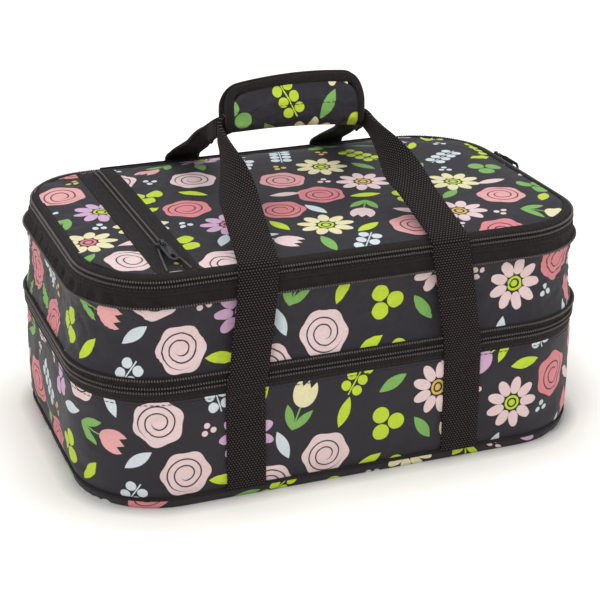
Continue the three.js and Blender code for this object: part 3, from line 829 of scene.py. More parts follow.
@look("black_tape", "black_cloth")
def tape_look(board):
    x, y = board.cut_place()
    herringbone = abs((x / 2.6).wrap() - 0.5) * 2.6
    threads = ((y + herringbone) * (2 * math.pi / 0.7)).sin()
    wash = board.noise(board.vector(x, y), 6.0, 3.0)
    pucker = board.noise(board.vector(x, y * 0.35, 3.0), 5.0)
    cloth = board.tint(colours().black_cloth, 0.75 + wash * 0.5 + threads * 0.12)
    normal = board.bump(threads * 0.10 + pucker * 1.6, 0.0014, 0.8)
    return board.finish(cloth, 0.74 + wash * 0.12, normal,
                        Sheen_Weight=0.04, Sheen_Roughness=0.6, Specular_IOR_Level=0.2)


@look("strap_webbing", "webbing")
def webbing_look(board):
    along, across = board.cut_place()
    row = (along / 1.9).floor()
    pick_step = (along / 1.9).wrap() - 0.5
    warp_step = (across / 2.3 + row * 0.5).wrap() - 0.5
    ridge = (1 - pick_step * pick_step * 4) * (1 - warp_step * warp_step * 4)
    wear = board.noise(board.vector(along, across), 12.0, 3.0)
    # Painted glints: the weave's ridges are painted up to six times the webbing's colour and the hollows
    # between them nearly black, as where light catches and misses the weave; the noise adds tone that varies
    # at random.
    cloth = board.tint(colours().webbing, ridge ** 3 * 6.0 + wear * 0.1)
    return board.finish(cloth, 0.82 - ridge * 0.14, board.bump(ridge, 0.0008),
                        Sheen_Weight=0.03, Sheen_Roughness=0.5, Specular_IOR_Level=0.12)


@look("nylon_coil", "coil")
def coil_look(board):
    wear = board.noise(board.body_place(), 3.0)
    # The lightened coil colour carries a painted highlight; the noise adds tone that varies at random.
    nylon = board.tint(colours().coil, 0.75 + wear * 0.6)
    return board.finish(nylon, 0.34 + wear * 0.16, Specular_IOR_Level=0.5)


@look("black_paint", "metal")
def paint_look(board):
    place = board.body_place()
    wear = board.noise(place, 2.4, 4.0)
    paint = board.tint(colours().metal, 0.7 + wear * 0.7)
    normal = board.bump(board.noise(place, 0.5), 0.00008, 0.5)
    return board.finish(paint, 0.28 + wear * 0.18, normal, Coat_Weight=0.25, Coat_Roughness=0.2)


@look("sewing_thread", "black_cloth")
def thread_look(board):
    twist = board.noise(board.body_place(), 0.6, 1.0)
    strand = board.tint(colours().thread, 0.8 + twist * 0.7)
    return board.finish(strand, 0.55 + twist * 0.2, Sheen_Weight=0.1)


@look("lining_foil", "foil")
def foil_look(board):
    place = board.body_place()
    sockets = {"Vector": place, "Scale": 1 / 17.0}
    crease = board.add("ShaderNodeTexVoronoi", {"feature": "DISTANCE_TO_EDGE"}, sockets)
    crinkle = board.noise(place, 4.0, 4.0)
    film = board.tint(colours().foil, 0.9 + crinkle * 0.16)
    normal = board.bump(crinkle * 0.7 + crease.lesser(0.08) * 6, 0.0009, 0.6)
    return board.finish(film, 0.22 + crinkle * 0.2, normal, Metallic=0.85)


@look("fastener_tape", "black_cloth")
def fastener_look(board):
    pile = board.noise(board.body_place(), 0.7, 3.0)
    cloth = board.tint(colours().black_cloth, 0.6 + pile * 0.8)
    return board.finish(cloth, 0.9, board.bump(pile, 0.0006, 0.9), Sheen_Weight=0.3)


# Base, lower wall and lining.
def dish(name, plan, columns, rows, profile):
    """A dish round the bag's plan: a flat middle drawn out from its centre, then rows through a profile."""
    outs, heights = np.array(profile).T
    count = rows + len(profile) - 1
    piece, u, v = bolt(name, columns, count)
    step = nearest(v, count)
    index = np.clip(step - rows, 0, len(profile) - 1)
    points = plan.points(u * plan.around, outs[index], 0.0)
    points[:, :2] *= np.clip(step / rows, 0, 1)[:, None]
    points[:, 2] = heights[index]
    spread = 1 + (points[:, 2] - heights[0]) / HALF_DEPTH
    lay(piece, points, points[:, 0] * spread + 0.3, points[:, 1] * spread)
    return edit(piece, weld)


class CARRIER_OT_base(bpy.types.Operator):
    """Sews the printed base panel and the black piping round its edge"""

    bl_idname = "carrier.base"
    bl_label = "Base and piping"

    def execute(self, context):
        plan = Outline()
        top = high("base_panel").z
        quarter = np.linspace(0, math.pi / 2, 8)
        roll = [(-0.0024 + 0.0020 * math.sin(a), top * (1 - math.cos(a))) for a in quarter]
        roll.append((-0.0009, top + 0.0016))
        base = edit(dish("base_cloth", plan, 220, 5, roll), face_out)
        complete(base, print_look, "lower_case", "base_panel", "base_board", thickness=sizes().cloth)

        foot = low("bottom_piping")
        head = high("bottom_piping")
        thick = (head.z - foot.z) / 2
        middle = (head.z + foot.z) / 2
        out = head.y - HALF_DEPTH - thick
        circle = np.linspace(0, 2 * math.pi, 11)
        cord = [(out + thick * math.sin(a), middle - thick * math.cos(a)) for a in circle]
        welt = edit(ring("piping_cloth", plan, 260, cord), weld, face_out)
        complete(welt, tape_look, "lower_case", "bottom_piping", degrees=60)
        return {"FINISHED"}


class CARRIER_OT_lower_wall(bpy.types.Operator):
    """Sews the padded printed wall of the lower case, and its foil lining"""

    bl_idname = "carrier.lower_wall"
    bl_label = "Lower wall and lining"

    def execute(self, context):
        plan = Outline()
        profile = rise(WALL_Z - 0.001, WALL_TOP, 18)
        profile[0] = (-0.0012, profile[0][1])
        profile[1] = (-0.0002, profile[1][1])
        wall = ring("lower_wall_cloth", plan, 340, profile)
        x, y, z = spots(wall).T
        tall = (z - WALL_Z) / (WALL_TOP - WALL_Z)
        centre = np.where(y < 0, STRAP_CENTRE_X, BACK_CENTRE_X)
        under_strap = np.abs(np.abs(x - centre) - STRAP_FOOT_X) < STRAP_WIDTH * 0.42
        under_strap &= np.abs(y) > HALF_DEPTH - 0.001
        settle(wall, (tall < 0.09) | (tall > 0.92) | under_strap, 0.012, 2.2, sizes().wall_puff)
        complete(wall, print_look, "lower_case", "lower_wall", thickness=sizes().cloth)
        sew("wall_top_stitch", plan.loop(0.0003, WALL_TOP - 0.0022), "lower_case", True)

        inside = low("lower_liner").x + HALF_LENGTH
        rim = TAPE_TOP - 0.0002
        floor = low("lower_liner").z + 0.0006
        bend = 0.008
        corner = np.linspace(0, math.pi / 2, 6)
        lining = [(-inside - bend + bend * math.sin(a), floor + bend * (1 - math.cos(a))) for a in corner]
        lining += rise(floor + bend + 0.006, rim - 0.0012, 12, -inside)
        lining += [(-inside + 0.0012, rim - 0.0001), (-0.0030, rim), (-0.0016, rim - 0.0006)]
        liner = dish("lower_lining", plan, 220, 8, lining)
        complete(liner, foil_look, "lower_case", "lower_liner", "lower_foam", thickness=0.0006)
        return {"FINISHED"}


class CARRIER_OT_bands(bpy.types.Operator):
    """Sews the black bands that carry the zips round both decks"""

    bl_idname = "carrier.bands"
    bl_label = "Zip bands"

    def execute(self, context):
        plan = Outline()
        flange = 0.0010
        fold = UPPER_Z + (UPPER_TOP - UPPER_Z) * 0.56
        brim = rise(DECK_Z, DECK_TOP - 0.0034, 5) + rise(DECK_TOP - 0.0024, DECK_TOP + 0.0002, 3, flange)
        pleat = rise(UPPER_Z, UPPER_Z + 0.0024, 3, flange) + rise(UPPER_Z + 0.0034, fold - 0.0008, 6)
        pleat += [(0.0008, fold - 0.0002), (0.0012, fold + 0.0006), (0.0008, fold + 0.0015)]
        pleat += rise(fold + 0.0022, UPPER_TOP, 4, 0.0002)
        lower = ring("lower_zip_band", plan, 300, rise(TAPE_Z - 0.0004, TAPE_TOP, 5))
        middle = ring("deck_zip_band", plan, 300, brim)
        self.pucker(middle, 0.0005, DECK_Z, DECK_TOP)
        upper = ring("upper_zip_band", plan, 380, pleat)
        self.pucker(upper, 0.0012, UPPER_Z, fold)
        pieces = [
            (lower, "lower_case", "lower_zip_tape"),
            (middle, "deck", "deck_band"),
            (upper, "upper_frame", "upper_band"),
        ]
        for piece, body, node in pieces:
            complete(piece, tape_look, body, node, thickness=sizes().tape, degrees=50)
        sew("lower_band_stitch", plan.loop(0.0002, TAPE_Z + 0.0018), "lower_case", True)
        sew("upper_band_stitch", plan.loop(0.0005, fold + 0.0030), "upper_frame", True)
        return {"FINISHED"}

    def pucker(self, piece, depth, bottom, top):
        """Gathers a band along its length, most of all round the left end."""
        points = spots(piece)
        angle = np.arctan2(points[:, 1] / HALF_DEPTH, points[:, 0] / HALF_LENGTH)
        tall = np.clip((points[:, 2] - bottom) / (top - bottom), 0, 1)
        slant = angle + tall * 0.03
        wave = np.sin(slant * 83) * 0.5 + np.sin(slant * 47 + 1.3) * 0.3 + np.sin(slant * 131 + 0.4) * 0.2
        wave *= 0.7 + 1.5 * np.clip((-points[:, 0] - 0.08) / 0.1, 0, 1)
        away = points[:, :2] / np.linalg.norm(points[:, :2], axis=1, keepdims=True)
        points[:, :2] += away * (wave * depth * np.sin(math.pi * tall))[:, None]
        move_to(piece, points)


def panel_grid(name, plan, columns, rows, start, end, inset, height):
    """A panel across the bag's plan between two x places, its ends following the plan's corners."""
    panel, u, v = bolt(name, columns, rows)
    x = start + (end - start) * crowded(u, 0.85)
    y = (2 * v - 1) * plan.half_depth(x, inset)
    z = height(x, y)
    x = x + slump(x, z)
    return lay(panel, stack(x, y, z), x + 0.9, y + 0.7)


class CARRIER_OT_deck(bpy.types.Operator):
    """Sews the padded foil divider and the wrinkled gusset of the upper deck"""

    bl_idname = "carrier.deck"
    bl_label = "Divider and gusset"

    def execute(self, context):
        plan = Outline()
        self.divider(plan)
        recess = sizes().gusset_recess
        profile = []
        for out, z in rise(GUSSET_Z - 0.0004, GUSSET_TOP + 0.0004, 20, -0.0004):
            tall = min(max((z - GUSSET_Z) / (GUSSET_TOP - GUSSET_Z), 0), 1)
            profile.append((out - recess * max(math.sin(math.pi * tall), 0) ** 0.7, z))
        gusset = ring("gusset_cloth", plan, 420, profile)
        points = spots(gusset)
        tall = (points[:, 2] - GUSSET_Z) / (GUSSET_TOP - GUSSET_Z)
        left = np.clip((-points[:, 0] - 0.05) / 0.12, 0, 1)
        slack = 0.2 + 0.8 * left
        start = np.random.default_rng(11).normal(0, 0.00035, len(points)) * (tall > 0.05) * (tall < 0.95)
        points[:, :2] *= (1 + start / np.linalg.norm(points[:, :2], axis=1))[:, None]
        move_to(gusset, points)
        sewn = (tall < 0.03) | (tall > 0.97)
        settle(gusset, sewn, sizes().gusset_ease, 0, sizes().gusset_slack, 26, 0.15, slack)
        complete(gusset, print_look, "deck", "gusset", thickness=0.0007, degrees=60, inner=foil_look)
        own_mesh(gusset)
        return {"FINISHED"}

    def divider(self, plan):
        """Quilts the foil pad between the two compartments."""
        foot = low("deck_divider")
        head = high("deck_divider")
        inset = HALF_LENGTH - head.x
        edge = HALF_LENGTH - inset
        pad = panel_grid("divider_pad", plan, 120, 80, -edge, edge, inset, lambda x, y: head.z - 0.0007)
        points = spots(pad)
        x, y, _ = points.T
        quilt = np.abs(np.sin((x + y) * math.pi / 0.042)) * np.abs(np.sin((x - y) * math.pi / 0.042))
        rim = np.clip(plan.inwards(x, y, inset) / 0.012, 0, 1)
        points[:, 2] += 0.0008 * np.sqrt(quilt) * rim
        move_to(pad, points)
        complete(pad, foil_look, "deck", "deck_divider", thickness=head.z - foot.z - 0.001)


def lid_drop(y):
    """How far the lid's edge falls, most of all along the back."""
    return sizes().lid_fall * np.clip(0.6 + 0.4 * y / HALF_DEPTH, 0.2, 1)


def lid_height(plan, x, y, inset):
    """The lid's height, which falls off towards its edge."""
    step = np.clip(plan.inwards(x, y, inset) / sizes().lid_brow, 0, 1)
    return LID_TOP - lid_drop(y) * (1 - step) ** 2


class CARRIER_OT_lid(bpy.types.Operator):
    """Sews the lid: its rolled binding, printed panels, pocket tapes and foil lining"""

    bl_idname = "carrier.lid"
    bl_label = "Lid"

    def execute(self, context):
        plan = Outline()
        inset = LEAN + sizes().lid_hem
        self.binding(plan, sizes().lid_hem)
        edge = HALF_LENGTH - inset
        panels = [
            ("lid_main_cloth", "lid_main_panel", 130, low("lid_main_panel").x, edge),
            ("lid_end_cloth", "lid_end_panel", 40, -edge, high("lid_end_panel").x),
        ]
        for name, node, columns, start, end in panels:
            self.panel(plan, inset, name, node, columns, start - TUCK, end)
        self.pocket(plan, inset)
        tuck = LEAN + 0.0022
        end = HALF_LENGTH - tuck
        under = high("lid_liner").z
        lining = panel_grid("lid_lining", plan, 90, 60, -end, end, tuck, lambda x, y: under)
        complete(lining, foil_look, "lid", "lid_liner", "lid_foam", thickness=under - low("lid_liner").z)
        line = plan.loop(0.0016 - sizes().lid_hem, LID_TOP + 0.0003)
        line[:, 2] -= lid_drop(line[:, 1])
        sew("lid_binding_stitch", line, "lid", True)
        return {"FINISHED"}

    def panel(self, plan, inset, name, node, columns, start, end):
        """Sews one printed panel under the binding and lets it swell."""
        panel = panel_grid(name, plan, columns, 90, start, end, inset - TUCK,
                           lambda x, y: lid_height(plan, x, y, inset) - 0.0004)
        x, y, _ = spots(panel).T
        hem = 0.0025
        sewn = plan.half_depth(x, inset - TUCK) - np.abs(y) < hem
        sewn |= (x - start < hem) | (end - x < hem)
        settle(panel, sewn, 0.004, 1.2, sizes().lid_crown, 20, 2.0)
        complete(panel, print_look, "lid", node, thickness=sizes().cloth)

    def binding(self, plan, inset):
        """Rolls the black binding over the lid's edge."""
        reach = inset + 0.0004
        foot = LID_Z
        shoulder = foot + 0.0016
        top = LID_TOP + 0.0003
        roll = [(0.0, foot), (0.0001, foot + 0.0010)]
        for angle in np.linspace(0, math.pi / 2, 8):
            roll.append((-reach * (1 - math.cos(angle)), shoulder + (top - shoulder) * math.sin(angle)))
        roll += [(-reach, top - 0.0010)]
        binding = ring("lid_binding_cloth", plan, 300, roll)
        points = spots(binding)
        points[:, 2] -= lid_drop(points[:, 1]) * (points[:, 2] - foot) / (top - foot)
        move_to(binding, points)
        complete(binding, tape_look, "lid", "lid_binding", thickness=sizes().tape, degrees=50)

    def pocket(self, plan, inset):
        """Sews the tapes of the pocket's zip, which part in front of the slider, and the pocket's floor."""
        front = -HALF_DEPTH + inset
        parted = POCKET_SLIDER_Y + 0.003

        def parting(y):
            return 0.0003 + sizes().zip_opening * np.clip((parted - y) / (parted - front), 0, 1) ** 0.8

        def on_lid(x, y, lift):
            return stack(x, y, lid_height(plan, x, y, inset) + lift)

        sides = (("left", -1, low("pocket_tape_left").x), ("right", 1, high("pocket_tape_right").x))
        for side, sign, outer in sides:
            tape, u, v = bolt("pocket_tape_" + side + "_cloth", 14, 80)
            middle = (2 * v - 1) * plan.half_depth(np.full_like(v, ZIP_X + sign * 0.008), inset - TUCK)
            inner = ZIP_X + sign * parting(middle)
            x = outer + (inner - outer) * (u if sign < 0 else 1 - u)
            y = (2 * v - 1) * plan.half_depth(x, inset - TUCK)
            welt = 0.0007 * np.exp(-((np.abs(x - outer) - 0.0022) / 0.0012) ** 2)
            lay(tape, on_lid(x, y, 0.0001 + welt), y, x)
            complete(tape, tape_look, "lid", "pocket_tape_" + side, thickness=sizes().tape, degrees=50)
            y = np.linspace(front + 0.002, -front - 0.002, 120)
            for name, away in (("edge", 0.0042), ("zip", 0.0098)):
                seam = on_lid(np.full_like(y, outer - sign * away), y, 0.0004)
                sew("pocket_" + side + "_" + name + "_stitch", seam, "lid")
            y = np.linspace(front + 0.001, -front - 0.008, 160)
            row = on_lid(ZIP_X + sign * (parting(y) + 0.0018), y, 0.0004)
            coil_row("pocket_coil_" + side, "lid", row, lying=True)

        bed = high("pocket_liner").z - 0.0001
        deep = HALF_LENGTH - high("lid_main_panel").x
        floor = panel_grid("pocket_floor", plan, 30, 60, ZIP_X - 0.03, ZIP_X + 0.03, deep, lambda x, y: bed)
        complete(floor, print_look, "lid", "pocket_liner", thickness=0.0006)


# Zips and hinges.
class CARRIER_OT_coils(bpy.types.Operator):
    """Winds the zip coils round both decks"""

    bl_idname = "carrier.coils"
    bl_label = "Zip coils"

    def execute(self, context):
        plan = Outline()
        hinged = np.linspace(HINGE_HALF, plan.around - HINGE_HALF, 500)
        rows = [
            ("lower_zip_coil", "lower_case", -1),
            ("deck_zip_coil", "deck", 1),
            ("expansion_coil_lower", "deck", 0),
            ("expansion_coil_upper", "upper_frame", 0),
            ("lid_zip_coil_lower", "upper_frame", -1),
            ("lid_zip_coil_upper", "lid", 1),
        ]
        for node, body, apart in rows:
            middle = (low(node).z + high(node).z) / 2 + apart * 0.0004
            line = plan.points(hinged, 0.0002, middle) if apart else plan.loop(0.0010, middle, 520)
            coil_row(node, body, line, not apart)
        return {"FINISHED"}


class CARRIER_OT_hinges(bpy.types.Operator):
    """Sews the cloth hinges at the back of both decks"""

    bl_idname = "carrier.hinges"
    bl_label = "Cloth hinges"

    def execute(self, context):
        for name, below, above in (("deck_hinge", "lower_case", "deck"), ("lid_hinge", "upper_frame", "lid")):
            node = name + "_strip"
            foot = low(node)
            head = high(node)
            tall = head.z - foot.z
            hinge, u, v = bolt(name + "_cloth", 60, 10)
            swell = 0.0006 * np.cos((v - 0.5) * math.pi)
            points = stack(head.x - 2 * head.x * u, foot.y + 0.0004 + swell, foot.z + tall * v)
            lay(hinge, points, u * 2 * head.x, v * tall)
            complete(hinge, tape_look, None, node, thickness=0.0007, degrees=50)
            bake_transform(hinge)
        return {"FINISHED"}


class CARRIER_OT_sliders(bpy.types.Operator):
    """Rounds the edges of the zip sliders and their pulls"""

    bl_idname = "carrier.sliders"
    bl_label = "Zip sliders and pulls"

    def execute(self, context):
        for zip_name in ("lower", "expansion", "lid", "pocket"):
            for part in ("slider", "pull"):
                node = zip_name + "_" + part
                pick(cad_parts[node])
                bpy.ops.object.duplicate()
                piece = named(bpy.context.active_object, node + "_cast")
                for key in list(piece.keys()):
                    del piece[key]
                piece.parent = None
                edit(piece, weld, lambda: bpy.ops.mesh.tris_convert_to_quads())
                modify(piece, "BEVEL", width=0.00028, segments=2, limit_method="ANGLE",
                       angle_limit=math.radians(35), use_clamp_overlap=True)
                complete(piece, paint_look, node, node, degrees=35)
        return {"FINISHED"}


# Straps.
def webbing_strip(name, centres, across, nodes, start=0.0, doubled=0.0):
    """A woven strap through its stations, flat or doubled along its middle; its cut runs along in metres."""
    folded = np.broadcast_to(doubled, len(centres))[:, None]
    wide = STRAP_WIDTH / 2 * (1 - folded / 2)
    thick = STRAP_THICKNESS / 2 * (1 + folded)
    section = [(-0.95, -1), (-0.5, -1), (0, -1), (0.5, -1), (0.95, -1), (1, -0.4), (1, 0.4)]
    section += [(-a, -b) for a, b in section] + section[:1]
    along = np.gradient(centres, axis=0)
    along /= np.linalg.norm(along, axis=1, keepdims=True)
    out = np.cross(along, across)
    out /= np.linalg.norm(out, axis=1, keepdims=True)
    run = start + np.concatenate([[0], np.cumsum(np.linalg.norm(np.diff(centres, axis=0), axis=1))])
    columns = len(centres) - 1
    rows = len(section) - 1
    strip, u, v = bolt(name, columns, rows)
    station = nearest(u, columns)
    corner = np.array(section)[nearest(v, rows)]
    side = across[station] * corner[:, :1] * wide[station]
    points = centres[station] + side + out[station] * corner[:, 1:] * thick[station]
    edit(lay(strip, points, run[station], corner[:, 0] * STRAP_WIDTH / 2), weld, cap, face_out)
    return complete(strip, webbing_look, None, *nodes, degrees=50)


def bezier(start, bend, end, count):
    """Points on a curve that leaves one point for a bend and comes into another."""
    t = np.linspace(0, 1, count)[:, None]
    return (1 - t) ** 2 * np.array(start) + 2 * t * (1 - t) * np.array(bend) + t ** 2 * np.array(end)


class CARRIER_OT_straps(bpy.types.Operator):
    """Weaves the four strap lengths on the walls and the two loops through the grip"""

    bl_idname = "carrier.straps"
    bl_label = "Webbing straps"

    def execute(self, context):
        for face, name in ((-1, "front"), (1, "back")):
            for side, hand in ((-1, "left"), (1, "right")):
                self.sewn_length(face, name, side, hand)
            self.loop(face, name)
        return {"FINISHED"}

    def route(self, side, face, z):
        """The strap's middle on the wall at each height."""
        free = np.clip((z - TAPE_Z) / (LOOP_HINGE_Z - TAPE_Z), 0, 1)
        x = strap_centre(face) + side * (STRAP_FOOT_X + (strap_reach(face) - STRAP_FOOT_X) * free)
        foot_out = (high("back_strap_foot_left").y + low("back_strap_foot_left").y) / 2
        step = np.clip((z - TAPE_Z + 0.002) / 0.008, 0, 1)
        y = face * (foot_out + (STRAP_FREE_Y - foot_out) * eased(step) - lean(z))
        return stack(x, y, z)

    def sewn_length(self, face, name, side, hand):
        """The length that is sewn up the lower wall and then hangs free to its split."""
        sewn = np.linspace(WALL_Z - 0.0006, WALL_TOP - 0.004, 40)
        free = np.linspace(WALL_TOP - 0.003, sizes().strap_split, 40)
        centres = self.route(side, face, np.concatenate([sewn, free]))
        across = np.tile([[1.0, 0.0, 0.0]], (len(centres), 1))
        nodes = (name + "_strap_foot_" + hand, name + "_upright_" + hand)
        strip = webbing_strip(name + "_strap_" + hand, centres, across, nodes)
        swing = (low("front_upright_left").z + WALL_TOP) / 2
        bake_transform(strip)
        self.box_stitch(face, name + "_" + hand, strap_centre(face) + side * STRAP_FOOT_X)

    def box_stitch(self, face, name, x):
        """The stitched box and cross that hold a strap to the wall."""
        left = x - STRAP_WIDTH / 2 + 0.003
        right = x + STRAP_WIDTH / 2 - 0.003
        top = WALL_TOP - 0.003
        bottom = top - 0.026
        foot = WALL_Z + 0.004
        box = [(left, bottom), (right, bottom), (right, top), (left, top), (left, bottom)]
        box += [(right, top), (right, bottom), (left, top)]
        y = face * (high("back_strap_foot_left").y + 0.0001)
        for part, line in (("box", box), ("foot", [(left, foot), (right, foot)])):
            sew(name + "_" + part + "_stitch", [(a, y, b) for a, b in line], "lower_case", level=False)

    def loop(self, face, name):
        """The loop from both splits, through the grip."""
        left = self.half_loop(face, -1)
        right = self.half_loop(face, 1)
        centres, across, doubled = [np.concatenate([a, b[::-1]]) for a, b in zip(left, right)]
        nodes = (name + "_loop",)
        strip = webbing_strip(name + "_loop_strap", centres, across, nodes, sizes().strap_split, doubled)
        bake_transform(strip)

    def half_loop(self, face, side):
        """Half of a loop: over the lid's edge, turned on edge on its way to the grip and doubled in it."""
        front = face < 0
        bend = 0.009 if front else 0.018
        late = 0.35 if front else 0.58
        lip = 0.012

        def spot(x, z):
            return np.array([STRAP_CENTRE_X + side * x, face * LOOP_Y, z - grip_hang(side * x, z)])

        rising = self.route(side, face, np.linspace(sizes().strap_split, LOOP_HINGE_Z + 0.0020, 16))
        edge_x = strap_centre(face) + side * strap_reach(face)
        edge = np.array([edge_x, face * (STRAP_FREE_Y - LEAN), LID_TOP])
        out_x = GRIP_HALF + sizes().strap_run
        inner_x = sizes().grip_fold + STRAP_THICKNESS
        fall = sizes().strap_sag / (out_x - inner_x)
        turn = spot(out_x, LOOP_Z - sizes().strap_sag)
        slope = (turn - edge) / np.linalg.norm(turn - edge)
        over = bezier(rising[-1], edge, edge + slope * lip, 12)
        straight = np.linspace(edge + slope * lip, turn - slope * bend, 48)
        leave = spot(GRIP_HALF, LOOP_Z - fall * (GRIP_HALF - inner_x))
        into = bezier(turn - slope * bend, turn, leave, 12)
        inner = np.linspace(leave, spot(inner_x, LOOP_Z), 5)
        centres = np.vstack([rising, over[1:], straight[1:], into[1:], inner[1:]])
        before = np.zeros(len(rising) + len(over) - 1)
        after = np.ones(len(into) + len(inner) - 2)
        up = np.linspace(0, 1, len(straight))[1:]

        def change(start, end):
            """Nothing on the wall, all of it in the grip and a steady change on the free run."""
            return np.concatenate([before, np.clip((up - start) / (end - start), 0, 1), after])

        twist = change(late, 1)
        twist = (twist + eased(twist)) / 2
        folded = twist ** 2 if front else change(0.25, 0.85)
        angle = twist * math.pi / 2
        across = np.outer(np.cos(angle), [-face, 0, 0]) + np.outer(np.sin(angle), [0, 0, 1])
        return centres, across, folded


# Grip.
class Flap:
    """One padded flap of the grip, seen from its own side, with its fold at the bottom."""

    def __init__(self, face):
        self.face = face
        self.height = GRIP_TOP - GRIP_Z
        self.bound = 0.0075
        self.shoulder = 0.019
        self.corner = 0.016

    def layer(self, z, depth):
        """The place across the grip of a depth in the flap, which closes and thins towards its top."""
        closed = eased(np.clip((z - 0.016) / (self.height - 0.019), 0, 1))
        return self.face * (GRIP_FACE + (0.0010 - GRIP_FACE) * closed + depth * (1 - 0.45 * closed))

    def top(self, x, inset):
        """The height of the flap's edge at each x, drawn inwards by an inset."""
        line = self.edge(inset, 200)
        order = np.argsort(line[:, 0])
        return np.interp(x, line[order, 0], line[order, 1])

    def edge(self, inset, count):
        """Points on the bound edge from the left fold, over the top, to the right fold."""
        half = GRIP_HALF - inset
        crown = 0.001
        height = self.height - inset
        brow = height - crown
        corner = half - self.corner
        rise_left = bezier((-half, self.shoulder), (-half, brow), (-corner, brow), count // 4)
        left = np.vstack([[(-half, 0.0)], rise_left])
        over = bezier((-corner, brow), (0, height + crown), (corner, brow), count // 2)
        return np.vstack([left, over[1:-1], left[::-1] * (-1, 1)])


class CARRIER_OT_grip(bpy.types.Operator):
    """Pads and binds the two flaps of the grip, and closes them with fastener tape"""

    bl_idname = "carrier.grip"
    bl_label = "Grip"

    def execute(self, context):
        flaps = ((Flap(-1), "grip_front", "grip_flap", "hook"), (Flap(1), "grip_back", "back_handle", "loop"))
        for flap, name, body, _ in flaps:
            self.pad(flap, name + "_pad", body, name + "_panel")
            self.bind(flap, name + "_edge", body, name + "_binding")
        self.fold()
        for flap, _, body, tape in flaps:
            self.fastener(flap, "grip_" + tape + "_tape", body)
        return {"FINISHED"}

    def pad(self, flap, name, body, node):
        """A padded flap, crowned between its binding and the sewn line along it."""
        inset = flap.bound - 0.0008
        half = GRIP_HALF - inset
        sew_line = 0.0185
        rim_width = 0.012
        pad, u, v = bolt(name, 60, 26)
        x = (2 * crowded(u, 0.8) - 1) * half * 0.999
        top = flap.top(x, inset)
        z = top * v
        tuck = 0.0052 * np.clip(1 - z / 0.007, 0, 1) ** 2
        rim = np.minimum(np.minimum(half - np.abs(x), top - z), rim_width) / rim_width
        depth = GRIP_PAD - 0.0016 - tuck + 0.0012 * np.sqrt(np.clip(rim, 0, 1))
        points = stack(x * -flap.face, flap.layer(z, depth), GRIP_Z + z)
        lay(pad, points, points[:, 0] + 0.55, points[:, 2] + 0.2)
        x, _, z = spots(pad).T
        z = z - GRIP_Z
        sewn = (half - np.abs(x) < 0.0016) | (flap.top(x, inset) - z < 0.0016) | (z < 0.0006)
        sewn |= np.abs(z - sew_line) < 0.0009
        settle(pad, sewn, 0.03, 3.2, sizes().grip_puff, 20, 0.3)
        self.close_back(pad, flap)
        complete(hang(pad), print_look, body, node, degrees=60)
        x = np.linspace(-GRIP_HALF + 0.008, GRIP_HALF - 0.008, 40)
        line = stack(x, flap.layer(sew_line, GRIP_PAD - 0.0003), GRIP_Z + sew_line)
        hang(sew(name + "_stitch", line, body))

    def close_back(self, pad, flap):
        """Carries the flap's edge back to the loops and closes it there."""
        pick(pad)
        bpy.ops.object.mode_set(mode="EDIT")
        bpy.ops.mesh.select_all(action="DESELECT")
        bpy.ops.mesh.select_mode(type="EDGE")
        bpy.ops.mesh.select_non_manifold()
        bpy.ops.mesh.extrude_region_move()
        bpy.ops.object.mode_set(mode="OBJECT")
        points = spots(pad)
        chosen = np.zeros(len(pad.data.vertices), dtype=bool)
        pad.data.vertices.foreach_get("select", chosen)
        points[chosen, 1] = flap.layer(points[chosen, 2] - GRIP_Z, 0.0002)
        move_to(pad, points)
        bpy.ops.object.mode_set(mode="EDIT")
        bpy.ops.mesh.edge_face_add()
        bpy.ops.mesh.select_all(action="SELECT")
        face_out()
        bpy.ops.mesh.select_mode(type="VERT")
        bpy.ops.object.mode_set(mode="OBJECT")

    def bind(self, flap, name, body, node):
        """The black binding that wraps a flap's edge."""
        line = flap.edge(0.0, 64)
        along = np.gradient(line, axis=0)
        along /= np.linalg.norm(along, axis=1, keepdims=True)
        inward = stack(along[:, 1], -along[:, 0])
        deep = GRIP_PAD
        bound = flap.bound
        section = np.array([
            (bound, deep - 0.0008), (bound * 0.75, deep + 0.0002), (bound * 0.35, deep),
            (0.0008, deep - 0.0016), (0.0, deep * 0.5), (0.0008, 0.0016),
            (bound * 0.35, 0.0003), (bound, 0.0002), (bound, deep - 0.0008)])
        columns = len(line) - 1
        rows = len(section) - 1
        binding, u, v = bolt(name, columns, rows)
        station = nearest(u, columns)
        corner = section[nearest(v, rows)]
        x, z = (line[station] + inward[station] * corner[:, :1]).T
        z = np.maximum(z, 0)
        lay(binding, stack(x, flap.layer(z, corner[:, 1]), GRIP_Z + z), u * 0.19, v * 0.02)
        edit(binding, weld, cap, face_out)
        modify(binding, "SUBSURF", levels=1, render_levels=1)
        complete(hang(binding), tape_look, body, node, degrees=60)

    def fold(self):
        """The cloth that passes under the loops from one flap to the other."""
        half = sizes().grip_fold
        reach = GRIP_FACE + GRIP_PAD - 0.0062
        fold, u, v = bolt("grip_fold", 40, 14)
        angle = (v - 0.5) * math.pi
        points = stack((2 * u - 1) * half, reach * np.sin(angle), GRIP_Z + 0.0016 * (1 - np.cos(angle)))
        lay(fold, points, u * 2 * half + 0.55, v * 2 * reach + 0.18)
        edit(hang(fold), lambda: bpy.ops.mesh.flip_normals())
        complete(fold, print_look, None, thickness=0.0009)
        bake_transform(fold)

    def fastener(self, flap, node, body):
        """A strip of fastener tape along the top of a flap's inner face."""
        tall = high(node).z - low(node).z
        half = (high(node).x - low(node).x) / 2
        strip, u, v = bolt(node + "_pile", 30, 8)
        z = low(node).z - GRIP_Z + tall * v
        points = stack((1 - 2 * u) * half * flap.face, flap.layer(z, -0.0002), GRIP_Z + z)
        lay(strip, points, 2 * half * u, tall * v)
        hang(complete(strip, fastener_look, body, node, thickness=0.0007))


